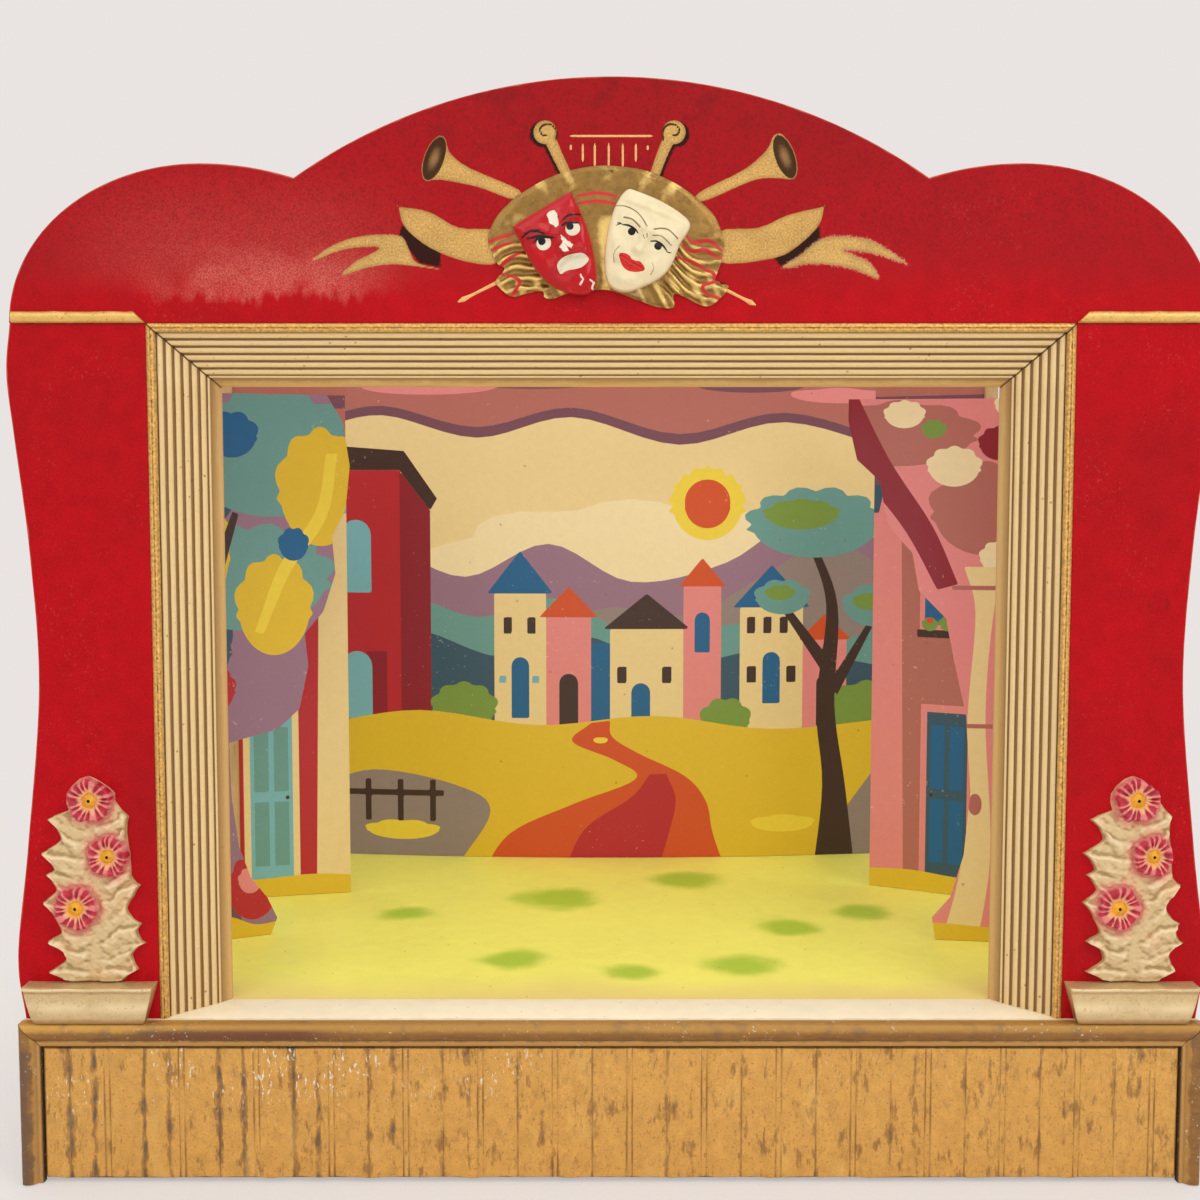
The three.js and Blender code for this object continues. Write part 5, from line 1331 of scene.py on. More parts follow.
def ribbed_shell():
    """Ribbed panel as a height field over its front: notches whose depth wavers, a faint swell
    between them, a wavy foot and edges rounded back to the board behind it."""
    x = np.linspace(-PANEL_HALF, PANEL_HALF, 1130)
    z = np.concatenate([[TOE], np.linspace(TOE + 0.6, RIBBED_TOP - 0.6, 26), [RIBBED_TOP]])[:, None]
    place = np.stack(np.broadcast_arrays(x[None], z), -1)
    dips = groove_depths(x)[None] * (0.75 + 0.4 * ripple(place, 60, 31))
    swell = 0.35 * ripple(place * (1, 0.3), 24, 32)
    ends = smooth(np.minimum(PANEL_HALF - np.abs(x), 0.8)[None] / 0.8, 0, 1)
    ends = ends * smooth(np.minimum(z - TOE + 0.1, RIBBED_TOP + 0.1 - z), 0, 0.7)
    carved = (0.45 + swell + sizes().groove_depth / MM * dips).clip(0, 2)
    front = BOARD_FRONT - RIBBED_THICK * (0.8 + 0.2 * ends) + carved
    wave = (1.1 + ripple(x[:, None], 60, 33)) * 0.55
    height = z + wave[None] * smooth(20 - z, 0, 18)
    spots = [closed_rows(x + 0 * z, PANEL_HALF, -PANEL_HALF), closed_rows(front, BOARD_FRONT, BOARD_FRONT),
             closed_rows(height, height[:, -1:], height[:, :1])]
    return Shell(np.stack(spots, -1), low=closed_rows(dips.clip(0, 1)),
                 stain=closed_rows(stained_ribs(x) + 0 * z))


def moulding_section():
    """Shares across the box moulding and its face's depth: a round, a quirk and a flat."""
    across, out = np.concatenate([[(0, 0.0)], BOX_MOULDING, [(1, 0.0)]]).T
    return across, BOARD_FRONT - out * MOULDING_OUT, out > 0


def top_moulding():
    """The section along the top of the box, mitred at both ends, its face a little uneven."""
    across, face, raised = moulding_section()
    x = np.linspace(-1, 1, 150)[:, None] * (BOX_HALF - across * MOULDING_WIDE - GAP)
    stray = 0.22 * np.abs(ripple(np.stack([x, 0 * x + across * 14], -1), 22, 34))
    spots = np.broadcast_arrays(x, face + stray * raised, DECK - across * MOULDING_HIGH)
    return Shell(np.stack(spots, -1), across=across)


def corner_moulding(hand):
    """The same section up a corner of the box, mitred under the top length."""
    across, face, raised = moulding_section()
    z = np.linspace(0, 1, 44)[:, None] * (DECK - across * MOULDING_HIGH - GAP)
    worn = 0.3 * np.abs(ripple(np.stack([z, z * 0 + across * 12], -1), 15, 35 + hand))
    spots = np.broadcast_arrays(hand * (BOX_HALF - across * MOULDING_WIDE), face + worn * raised, z)
    return Shell(np.stack(spots, -1), across=0.44 + across * 0.56)


def moulding_paint():
    """Brown gilt with a painted highlight of bright gold along its upper round, strongest at the far left
    where the gold is kept, red-brown below, with a pale worn line at its inner edge, black grime in the
    joints and white chips."""
    c, f = colours(), Finish("box_moulding_gilt")
    x, across = f.axis("X"), f.mark("across")
    fine, grit, broad = f.noise(6, 4), f.noise(1.1, 2, seed=1), f.noise(60, 3, seed=2)
    gilt = f.shade(fine * 0.6 + grit * 0.4, c.gilt_brown, 0.72, 1.22)
    # Painted highlight along the upper round, partly the gold kept at the far left
    left = f.band(x + (broad - 0.5) * 90, -225, -300)
    gilt = f.mix(f.band(across + (fine - 0.5) * 0.3, 0.42, 0.2) * (0.5 + left * 0.45), gilt,
                 rgb(200, 150, 68))
    red = f.band(abs(x + 222 + (broad - 0.5) * 60), 74, 34) * 0.75 + f.band(broad, 0.42, 0.7) * 0.14
    gilt = f.mix(red * f.band(abs(across - 0.46), 0.34, 0.14), gilt, rgb(104, 58, 42))
    streak = f.band(f.noise(1.6, 3, seed=6, stretch=(14, 1, 1)), 0.5, 0.66)
    streak = streak * f.band(abs(across - 0.62), 0.2, 0.06)
    gilt = f.mix(streak * 0.6, gilt, rgb(112, 78, 44))
    gilt = f.mix(f.band(f.noise(14, 4, seed=3), 0.56, 0.72) * 0.34, gilt, c.tarnish)
    stile = f.band(x, -328, -334) * f.band(f.axis("Z"), 84, 80)
    gilt = f.mix(stile * f.band(across + (fine - 0.5) * 0.3, 0.8, 0.62) * 0.8, gilt, rgb(104, 78, 60))
    gilt = f.mix(f.band(across + (fine - 0.5) * 0.2, 0.74, 0.82) * 0.5, gilt, rgb(210, 162, 92))
    gilt = f.mix(f.band(across, 0.95, 1.0) * 0.85, gilt, rgb(44, 34, 28))
    chip = f.band(f.noise(2.2, 4, seed=4), 0.64, 0.69) * f.band(f.noise(40, 2, seed=5), 0.45, 0.62)
    gilt = f.mix(chip * 0.85, gilt, rgb(226, 212, 190))
    return f.done(gilt, rough=0.46 + (fine - 0.5) * 0.35, metal=(1 - chip) * 0.25,
                  normal=f.bump(fine * 0.6 + grit * 0.4 - chip * 0.5, 0.3, 0.8))


# Green blotches on the floor: place seen from above and width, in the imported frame's millimetres
BLOTCHES = ((-66, -96, 34), (16, -120, 30), (86, -106, 40), (128, -20, 34), (-40, 60, 50),
            (186, 20, 36), (-150, 20, 30), (60, 120, 46))


def deck_paint():
    """Yellow floor paint with soft green blotches sprayed on it, scratched and soiled near the front;
    bare plywood below and at the edges."""
    c, f = colours(), Finish("stage_floor_paint")
    broad, fine, grit = f.noise(110, 2), f.noise(9, 4, seed=1), f.noise(0.9, 2, seed=2)
    paint = f.shade(broad * 0.5 + fine * 0.5, c.floor_yellow, 0.93, 1.06)
    cloud = f.noise(46, 2, seed=3)
    blotch = 0.0
    for spot_x, spot_y, wide in BLOTCHES:
        gap = f.from_spot(spot_x, spot_y) + (cloud - 0.5) * wide
        blotch = blotch + f.band(gap, wide, wide * 0.1) * 0.9
    spray = f.band(blotch + (grit - 0.5) * 0.3, 0.02, 0.85)
    paint = f.mix(spray * 0.85, paint, c.floor_green)
    front = f.band(f.axis("Y") + (broad - 0.5) * 60, -120, -176)
    paint = f.mix(front * 0.75, paint, rgb(236, 208, 128))
    scratch = f.band(f.noise(1.2, 2, (30, 1, 1), seed=4), 0.68, 0.74)
    scratch = scratch * f.band(f.noise(50, 2, seed=5), 0.5, 0.6)
    paint = f.mix(scratch * 0.4, paint, rgb(250, 240, 190))
    soil = f.band(f.cells(16, 6), 0.07, 0.02)
    paint = f.mix(soil * 0.5, paint, rgb(140, 108, 60))
    wood = f.shade(f.noise(2, 3, (7, 7, 1), seed=7), c.plywood, 0.75, 1.15)
    paint = f.mix(f.band(f.axis("Z"), DECK - 0.3, DECK - 0.1), wood, paint)
    return f.done(paint, rough=0.46 + (fine - 0.5) * 0.25, normal=f.bump(grit * 0.4 + fine * 0.6, 0.12, 0.5))


def apron_paint():
    """Cream paint, browned by hands along its front edge."""
    c, f = colours(), Finish("apron_cream_paint")
    fine, grit, broad = f.noise(10, 4), f.noise(1.2, 2, seed=1), f.noise(70, 2, seed=2)
    paint = f.shade(fine * 0.5 + broad * 0.5, c.apron, 0.93, 1.05)
    edge = f.band(f.axis("Y") + (fine - 0.5) * 5, FACADE * 1000 + 1.5, FACADE * 1000 - 3)
    paint = f.mix(edge * 0.45, paint, rgb(186, 142, 84))
    specks = f.band(f.cells(9, 3), 0.1, 0.04)
    paint = f.mix(specks * 0.5, paint, rgb(150, 112, 66))
    return f.done(paint, rough=0.5 + (fine - 0.5) * 0.25, normal=f.bump(grit * 0.5 + fine * 0.5, 0.12, 0.5))


class THEATRE_OT_stage_box(bpy.types.Operator):
    """Boards, mouldings and ribbed panel of the stage box, apron and painted floor"""
    bl_idname = "theatre.stage_box"
    bl_label = "Stage Box"

    def execute(self, context):
        c = colours()
        board = plywood_paint("stained_plywood", c.plywood)
        for name, low, high in both("box_side", (BOX_INNER, BOARD_FRONT, 0), (BOX_HALF, STAGE_BACK, UNDER)):
            piece(name + "_wall", [beam(low, high, 1, 0.7, 40, 0.15, 3)], "stage", board,
                  [name.replace("side", "side_board")])
        back = beam((-BOX_INNER, STAGE_BACK - BOARD, 0), (BOX_INNER, STAGE_BACK, UNDER), 0, 0.7, 50, 0.15, 4)
        piece("box_back_wall", [back], "stage", board, ["box_back_board"])
        front = beam((-BOX_INNER, BOARD_FRONT, TOE), (BOX_INNER, BOARD_FRONT + BOARD, UNDER), 0, 0.6, 40)
        piece("box_front_wall", [front], "stage", board, ["box_front_board"])
        ribbed = gilded("ribbed_panel_gilt", c.gilt, rgb(138, 96, 50), c.gilt_bright, 0.5, 1.0, 1.0, 0.35,
                        ("low",), 0.9)
        piece("ribbed_front", [ribbed_shell()], "stage", ribbed, ["ribbed_panel"], sharp=50)
        paint = moulding_paint()
        piece("moulding_top", [top_moulding()], "stage", paint, ["box_top_moulding"], sharp=45)
        for side, hand in HANDS:
            piece("moulding_corner_" + side, [corner_moulding(hand)], "stage", paint,
                  ["corner_moulding_" + side], sharp=45)
        apron = beam((-BOX_HALF, BOARD_FRONT, UNDER), (BOX_HALF, APRON_BACK, DECK), 0, 0.8, 60)
        piece("apron_strip", [apron], "stage", apron_paint(), ["apron_board"])

        finishes = {"stage_floor": deck_paint()}
        for rail in ("front_post_rail", "rear_post_rail"):
            finishes[rail] = plain_wood(rail + "_wood", c.wood, "X")
        for name, finish in finishes.items():
            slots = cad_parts[name].data.materials
            slots.clear()
            slots.append(finish)
        wood = plain_wood("bearer_wood", c.wood, "X")
        for name, y in (("apron_bearer", APRON_BACK - 10), ("rear_bearer", STAGE_BACK - BOARD - BEARER_WIDE)):
            bearer = beam((-BOX_INNER, y, UNDER - BEARER_HIGH), (BOX_INNER, y + BEARER_WIDE, UNDER),
                          0, 1.0, 40, 0.2, 5)
            piece(name + "_strip", [bearer], "stage", wood, [name])
        nails = []
        for hand in (-1, 1):
            for y in (18, 90, 165, 240, 315, 390, 425):
                spot = (hand * BOX_HALF, y, UNDER - 7 - 2 * math.sin(y))
                nails.append(nail_head(spot, 0, hand, 2.1, 0.0))
            for z in (12, 46, 80):
                nails.append(nail_head((hand * (BOX_HALF - BOARD / 2), STAGE_BACK, z), 1, 1, 2.1, 0.0))
        piece("box_nails", nails, "stage", steel_heads())
        return {"FINISHED"}


def nail_head(spot, axis, facing, radius=2.2, rise=0.5, sink=1.0):
    """A nail head: rings from the shank's rim over a low dome to its middle, along one axis."""
    steps = [(0, -sink), (1, -sink), (1, rise * 0.5 - 0.02), (0.93, rise * 0.9), (0.6, rise), (0, rise)]
    turn = np.linspace(0, 2 * math.pi, 18, endpoint=False)
    rings = np.zeros((len(steps), len(turn), 3))
    others = [i for i in range(3) if i != axis]
    for ring, (share, up) in zip(rings, steps):
        ring[:, others[0]] = share * radius * np.cos(turn)
        ring[:, others[1]] = share * radius * np.sin(turn)
        ring[:, axis] = facing * up
    return Shell(rings + np.array(spot))


# Timber behind the facade and the loose posts

BATTEN, CHANNEL = 20.0, 21.0  # widths of a batten and of the channel between two
NEAR, FAR = FRAME_EDGE + BATTEN, FRAME_EDGE + BATTEN + CHANNEL
EDGE = FAR + BATTEN
KEEPER = 16.5  # depth of the battens' rear faces, which carry the keepers
HEADER_BATTEN = 16.0
# Right backdrop post and the rail across both posts
POST_IN, POST_OUT, POST_FRONT, POST_BACK = 250.6, 266.6, 413.6, 431.6
POST_TOP, RAIL_FOOT, RAIL_BACK = DECK + 430, DECK + 408, 438.6
GUIDE = 5.0  # width and depth of a guide strip
# Gusset: its height, its reach behind the panel at the deck, its thickness
GUSSET_HIGH, GUSSET_REACH, GUSSET_THICK = 130, 72, 8
DOWEL, KERF_HALF, KERF_FLOOR = 5.0, 1.3, -2.0  # radius, and the kerf's half width and floor
# Spigot and foot of a wing post: height over the table, radius
SPIGOT_PROFILE = ((50.0, 3.2), (50.8, 4), (98.2, 4), (98.3, 4.6), (98.8, 5), (102.3, 5))


def dowel_shells():
    """A wing post about its own axis: a spigot and a solid foot as round sections, then the round
    with a saw kerf cut to just past its middle, closed by its rounded top."""
    turn = np.linspace(0, 2 * math.pi, 48, endpoint=False)
    lower = [np.stack([r * np.cos(turn), r * np.sin(turn), 0 * turn + z], 1) for z, r in SPIGOT_PROFILE]
    start = math.asin(KERF_HALF / DOWEL)
    arc = np.linspace(start, 2 * math.pi - start, 41)
    slot = [(KERF_FLOOR, -KERF_HALF), (KERF_FLOOR, KERF_HALF)]
    straight = [(z, DOWEL) for z in np.linspace(102.3, 493.2, 50)]
    upper = []
    for z, r in ((101.8, 4.9), *straight, (493.8, 4.75), (494, 4.3)):
        ring = np.concatenate([np.stack([r * np.cos(arc), r * np.sin(arc)], 1), slot])
        upper.append(np.column_stack([ring, np.full(len(ring), z)]))
    return [Shell(np.array(lower)), Shell(np.array(upper))]


class THEATRE_OT_timber(bpy.types.Operator):
    """Battens, keepers and gussets behind the facade, the header's batten and tongues, and the
    backdrop's posts, guides and top rail"""
    bl_idname = "theatre.timber"
    bl_label = "Timber"

    def execute(self, context):
        c = colours()
        upright = plain_wood("upright_wood", c.wood, "Z")
        level = plain_wood("level_wood", c.wood, "X")
        board = plywood_paint("brace_plywood", c.plywood)
        lengths = [
            (both("frame_batten", (FRAME_EDGE, PANEL, DECK), (NEAR, KEEPER, PANEL_TOP)),
             2, "stage", "bare_wood", upright),
            (both("outer_batten", (FAR, PANEL, DECK), (EDGE, KEEPER, PANEL_TOP)),
             2, "stage", "bare_wood", upright),
            (both("tongue_keeper", (FRAME_EDGE, KEEPER, PANEL_TOP - 60), (EDGE, KEEPER + 4, PANEL_TOP)),
             0, "stage", "plywood", board),
            (both("header_tongue", (NEAR + 0.5, PANEL + GAP, SEAM - 45),
                  (NEAR + 20.5, PANEL + 7.8, SEAM + 40)), 2, "header", "bare_wood", upright),
            ([("header_batten", (-NEAR, PANEL, SEAM), (NEAR, PANEL + HEADER_BATTEN, SEAM + 40))],
             0, "header", "bare_wood", level),
            (both("backdrop_post", (POST_IN, POST_FRONT, DECK), (POST_OUT, POST_BACK, POST_TOP)),
             2, "stage", "bare_wood", upright),
            *[(both(name, (POST_IN - GUIDE, y, DECK), (POST_IN, y + GUIDE, POST_TOP)),
               2, "stage", "bare_wood", upright)
              for name, y in (("front_guide", POST_FRONT + 1.5), ("rear_guide", POST_FRONT + 11.5))],
            ([("backdrop_top_rail", (-POST_OUT, POST_BACK, RAIL_FOOT), (POST_OUT, RAIL_BACK, POST_TOP))],
             0, "stage", "bare_wood", level),
        ]
        for seed, (parts, axis, body, slot, finish) in enumerate(lengths):
            for name, low, high in parts:
                round_off = 1.0 if min(np.subtract(high, low)) > 7 else 0.5
                timber = beam(low, high, axis, round_off, 40, 0.18, seed)
                piece(name + "_dressed", [timber], body, finish, [name])
        for side, hand in HANDS:
            fine = np.array([0, 0.6, 1.4])
            rise = np.concatenate([fine, np.linspace(3, GUSSET_HIGH - 3, 40), GUSSET_HIGH - fine[::-1]])
            reach = np.interp(rise, [0, 10, GUSSET_HIGH], [GUSSET_REACH, GUSSET_REACH, 10])
            brace = slab(DECK + rise, PANEL, PANEL + reach, 0, GUSSET_THICK, 12,
                         lambda z, a, depth: (hand * (EDGE + depth), a, z), 0.8)
            piece("gusset_" + side, [brace], "stage", board, ["panel_gusset_" + side])
        steel = steel_heads()
        nails = []
        for hand in (-1, 1):
            for z in (16, 48, 92):
                spot = (hand * (EDGE + GUSSET_THICK), PANEL + 5, DECK + z)
                nails.append(nail_head(spot, 0, hand, 2.0, 0.5))
            for x in (FRAME_EDGE + 8, EDGE - 8):
                for z in (PANEL_TOP - 50, PANEL_TOP - 12):
                    nails.append(nail_head((hand * x, KEEPER + 4, z), 1, 1, 2.0, 0.5))
        piece("facade_nails", nails, "stage", steel)
        heads = [nail_head((hand * x, PANEL + HEADER_BATTEN, SEAM + z), 1, 1, 2.4, 0.5)
                 for hand in (-1, 1) for x in (40, 150, 262) for z in (11, 29)]
        piece("header_batten_nails", heads, "header", steel)
        for side, hand in HANDS:
            for place, share in (("lower", 0.25), ("upper", 0.75)):
                spot = (hand * (POST_IN + POST_OUT) / 2, RAIL_BACK,
                        RAIL_FOOT + share * (POST_TOP - RAIL_FOOT))
                piece("screw_" + side + "_" + place, [screw_head(spot)], "stage", steel,
                      ["rail_screw_" + side + "_" + place], sharp=30)
        turned_wood = plain_wood("turned_post_wood", rgb(206, 168, 118), "Z", 4.0)
        for name, hand, y, angle in WING_PLACES:
            shells = dowel_shells()
            for shell in shells:
                shell.spots = turned(shell.spots, angle, (hand * POST_X, y))
            piece("turned_post_" + name, shells, name + "_post", turned_wood,
                  ["wing_post_" + name])
        return {"FINISHED"}


def screw_head(spot):
    """A round-head screw on a rear face: a dome over a circle with a slot pressed across it."""
    share = np.array([1, 1, 0.97, 0.88, 0.72, 0.5, 0.25, 0])[:, None]
    rise = np.array([-1, 0.2, 0.6, 0.95, 1.2, 1.34, 1.39, 1.4])[:, None]
    turn = np.linspace(0, 2 * math.pi, 60, endpoint=False)[None]
    x, z = share * 3.2 * np.cos(turn + 0.5), share * 3.2 * np.sin(turn + 0.5)
    cut = (np.abs(x * 0.8 + z * 0.6) < 0.45) & (rise > 0.5)
    y = np.where(cut, rise - 0.55, rise + 0 * x)
    bottom = np.zeros((1, 60))
    rings = np.stack([np.concatenate([bottom, x]), np.concatenate([bottom - 1, y]),
                      np.concatenate([bottom, z])], -1)
    return Shell(rings + np.array(spot))


# Scenery

# Posts: name, side of the stage, depth and the angle that each card's foot points to
WING_PLACES = (("front_left", -1, 155.0, 23.6), ("front_right", 1, 155.0, 172.2),
               ("rear_left", -1, 271.0, 13.0), ("rear_right", 1, 271.0, 152.0))
INKS = {
    "cream": rgb(233, 205, 146), "paper": rgb(240, 218, 170), "yellow": rgb(222, 184, 38),
    "lemon": rgb(236, 206, 60), "orange": rgb(208, 78, 26), "red": rgb(182, 32, 40),
    "deep_red": rgb(140, 24, 38), "pink": rgb(226, 134, 132), "rose": rgb(178, 104, 92),
    "plum": rgb(118, 70, 84), "mauve": rgb(150, 112, 132), "teal": rgb(104, 152, 146),
    "sky": rgb(120, 176, 186), "blue": rgb(24, 94, 142), "slate": rgb(52, 82, 100),
    "brown": rgb(62, 38, 28), "grey": rgb(146, 128, 122), "leaf": rgb(120, 148, 60),
}


def oblong(left, low, right, high):
    """Corners of an upright rectangle."""
    return [(left, low), (right, low), (right, high), (left, high)]


def window(x, z, wide, high):
    """A round-headed opening: straight sides under a half circle, from its foot's middle."""
    turn = np.linspace(0, math.pi, 9)
    arch = np.stack([x + wide / 2 * np.cos(turn), z + high - wide / 2 + wide / 2 * np.sin(turn)], 1)
    return [(x + wide / 2, z), *arch.tolist(), (x - wide / 2, z)]


def cloud(x, z, wide, high, lobes=4):
    """A scalloped outline: an ellipse whose radius swells `lobes` times along its upper half."""
    turn = np.linspace(0, 2 * math.pi, 48, endpoint=False)
    swell = 1 + 0.16 * np.abs(np.sin(turn * lobes)) * (np.sin(turn) > -0.2)
    return np.stack([x + wide / 2 * swell * np.cos(turn), z + high / 2 * swell * np.sin(turn)], 1)


def lane(*sides):
    """A shape between curves: each side's points are smoothed, and the sides are joined in turn."""
    return [spot for side in sides for spot in curve(side, 6).tolist()]


def rolling(points, low=-20):
    """Ground with a wavy top line: the curve through the points, closed far below."""
    line = curve(points, 6)
    return [*line.tolist(), (line[-1][0], low), (line[0][0], low)]


CLOUD_BANK = [(-250, 372), (-190, 384), (-110, 366), (-30, 382), (60, 360), (150, 378), (250, 352)]
TRUNK = [(22, -20), (16, 60), (22, 160), (16, 236)]


def village_art():
    """Backdrop, from the back forward: evening clouds, hills, a terrace of houses on a rise, and a
    road that winds down to the stage."""
    return [
        ("paper", [cloud(20, 236, 330, 120, 5)]),
        ("rose", [[(-250, 425), (-250, 372), *lane(CLOUD_BANK), (250, 425)]]),
        ("plum", [lane(CLOUD_BANK, [(250, 344), (150, 370), (60, 351), (-30, 374), (-110, 357), (-190, 376),
                                    (-250, 364)]),
                  cloud(-60, 404, 120, 13, 4), cloud(120, 400, 90, 11, 3)]),
        ("pink", [cloud(-150, 399, 110, 12, 3), cloud(40, 411, 130, 10, 4), cloud(196, 392, 80, 12, 3)]),
        ("lemon", [cloud(84, 300, 58, 58, 9)]),
        ("orange", [cloud(84, 300, 38, 38, 1)]),
        ("mauve", [rolling([(-250, 236), (-190, 262), (-120, 240), (-50, 268), (20, 236), (100, 252),
                            (170, 292), (250, 262)])]),
        ("grey", [rolling([(-60, 190), (0, 214), (70, 208), (130, 240), (190, 270), (250, 236)])]),
        ("teal", [rolling([(-250, 204), (-180, 226), (-110, 206), (-40, 222), (30, 186), (110, 200),
                           (180, 180), (250, 206)])]),
        ("slate", [rolling([(-250, 176), (-170, 196), (-90, 172), (-20, 190), (50, 164), (140, 178),
                            (250, 160)])]),
        ("cream", [oblong(-96, 110, -52, 226), oblong(2, 110, 64, 196), oblong(112, 110, 166, 214)]),
        ("pink", [oblong(-52, 110, -14, 206), oblong(64, 110, 96, 232),
                  [(166, 110), (204, 110), (204, 186), (166, 186)]]),
        ("red", [oblong(-250, 90, -176, 330), [(-176, 90), (-150, 104), (-150, 296), (-176, 330)]]),
        ("deep_red", [[(-176, 90), (-150, 104), (-150, 296), (-176, 330)], oblong(-206, 110, -188, 176)]),
        ("blue", [oblong(-14, 110, 2, 184), [(-102, 226), (-74, 262), (-46, 226)],
                  [(106, 214), (139, 250), (172, 214)],
                  window(-74, 120, 15, 52), window(80, 176, 13, 34), window(28, 112, 16, 38),
                  window(139, 132, 15, 44)]),
        ("brown", [[(-4, 196), (33, 226), (70, 196)], window(-33, 112, 16, 46), window(185, 112, 14, 44),
                   [(-250, 330), (-176, 330), (-150, 296), (-144, 306), (-172, 346), (-250, 352)],
                   *[oblong(x, 150, x + 8, 164) for x in (8, 46, 118, 152)],
                   *[oblong(x, 192, x + 7, 206) for x in (-88, -68, 118, 132, 146)]]),
        ("orange", [[(-58, 206), (-33, 232), (-8, 206)], [(60, 232), (80, 256), (100, 232)],
                    [(162, 186), (185, 208), (208, 186)]]),
        ("sky", [window(-214, 226, 26, 62), window(-214, 118, 26, 58),
                 *[oblong(x, 150, x + 6, 156) for x in (-92, -64)]]),
        ("leaf", [cloud(-122, 128, 52, 40, 5), cloud(100, 118, 40, 34, 4), cloud(222, 122, 70, 50, 5)]),
        ("yellow", [rolling([(-250, 112), (-160, 126), (-60, 114), (40, 122), (140, 110), (250, 118)])]),
        ("grey", [rolling([(-250, 58), (-200, 74), (-130, 62), (-100, 40), (-130, -10)]),
                  [(190, -20), (204, 40), (228, 72), (250, 80), (250, -20)]]),
        ("orange", [lane([(-14, 116), (-30, 100), (6, 84), (24, 68), (-30, 46), (-84, 20), (-110, -20)],
                         [(104, -20), (90, 20), (84, 48), (66, 70), (26, 90), (4, 104), (2, 118)])]),
        ("red", [lane([(36, 72), (20, 52), (-20, 24), (-40, -20)],
                      [(40, -20), (52, 20), (58, 50), (50, 72)])]),
        ("lemon", [cloud(-176, 22, 60, 16, 4), cloud(150, 28, 52, 14, 3), cloud(-6, 101, 12, 5, 2)]),
        ("brown", [lane([(176, -20), (184, 60), (178, 130), (186, 214), (170, 268)],
                        [(176, 270), (196, 214), (194, 130), (204, 60), (214, -20)]),
                   [(190, 150), (222, 200), (226, 196), (196, 138)],
                   [(184, 176), (154, 214), (150, 208), (182, 160)],
                   *[oblong(x, 30, x + 5, 66) for x in (-236, -208, -180, -152)],
                   oblong(-250, 52, -140, 57)]),
        ("teal", [cloud(176, 284, 108, 56, 6), cloud(228, 214, 52, 34, 4), cloud(148, 222, 44, 28, 4)]),
        ("leaf", [cloud(164, 292, 60, 24, 5), cloud(224, 218, 28, 14, 4), cloud(146, 226, 24, 12, 4)]),
    ]


def tree_art():
    """Front left wing: a tall tree whose broad leaves are cut out along the card's inner edge."""
    return [
        ("mauve", [oblong(-20, -20, 60, 400)]),
        ("slate", [cloud(4, 330, 66, 90, 3), cloud(2, 206, 50, 60, 3)]),
        ("teal", [cloud(58, 338, 120, 84, 6), cloud(40, 252, 110, 70, 6)]),
        ("yellow", [cloud(92, 314, 58, 78, 5), cloud(58, 232, 50, 66, 5), cloud(10, 272, 34, 70, 4)]),
        ("lemon", [lane([(96, 340), (88, 300), (62, 262), (44, 216)],
                        [(50, 214), (70, 258), (96, 296), (104, 340)]),
                   cloud(6, 300, 16, 30, 3)]),
        ("blue", [cloud(30, 352, 34, 30, 4), cloud(72, 276, 20, 22, 4)]),
        ("brown", [lane([(-4, -20), (2, 80), (-4, 170), (8, 240), (30, 300)],
                        [(34, 298), (18, 236), (10, 170), (18, 80), (28, -20)])]),
        ("plum", [lane([(14, -20), (12, 60), (6, 130)], [(10, 130), (20, 60), (40, -20)])]),
        ("red", [cloud(16, 176, 26, 30, 5), cloud(40, 34, 34, 44, 5)]),
        ("pink", [cloud(14, 180, 12, 14, 5), cloud(38, 40, 16, 18, 5)]),
        ("yellow", [rolling([(-20, 12), (20, 16), (44, 8), (80, 14)])]),
    ]


def blossom_art():
    """Front right wing: a blossoming tree with a pale trunk."""
    return [
        ("pink", [oblong(-20, -20, 140, 400)]),
        ("rose", [cloud(90, 352, 100, 42, 5), cloud(30, 300, 70, 60, 5)]),
        ("deep_red", [lane([(124, 392), (96, 336), (66, 290), (48, 250)],
                           [(62, 246), (84, 286), (112, 322), (140, 360)]),
                      cloud(22, 346, 26, 22, 5)]),
        ("paper", [cloud(52, 330, 34, 26, 5), cloud(20, 268, 26, 22, 5), cloud(86, 366, 26, 18, 5),
                   cloud(14, 372, 22, 16, 4)]),
        ("leaf", [cloud(8, 322, 16, 20, 4), cloud(66, 356, 16, 12, 4)]),
        ("cream", [lane([*TRUNK, (6, 262)], [(44, 262), (36, 230), (40, 160), (42, 60), (60, -20)])]),
        ("pink", [lane([*TRUNK, (8, 262)], [(14, 262), (23, 236), (28, 160), (23, 60), (34, -20)])]),
        ("rose", [oblong(12, 150, 48, 153), oblong(10, 246, 52, 249), cloud(34, 96, 9, 14, 1)]),
        ("yellow", [rolling([(-20, 12), (20, 10), (60, 12), (80, 10)])]),
    ]


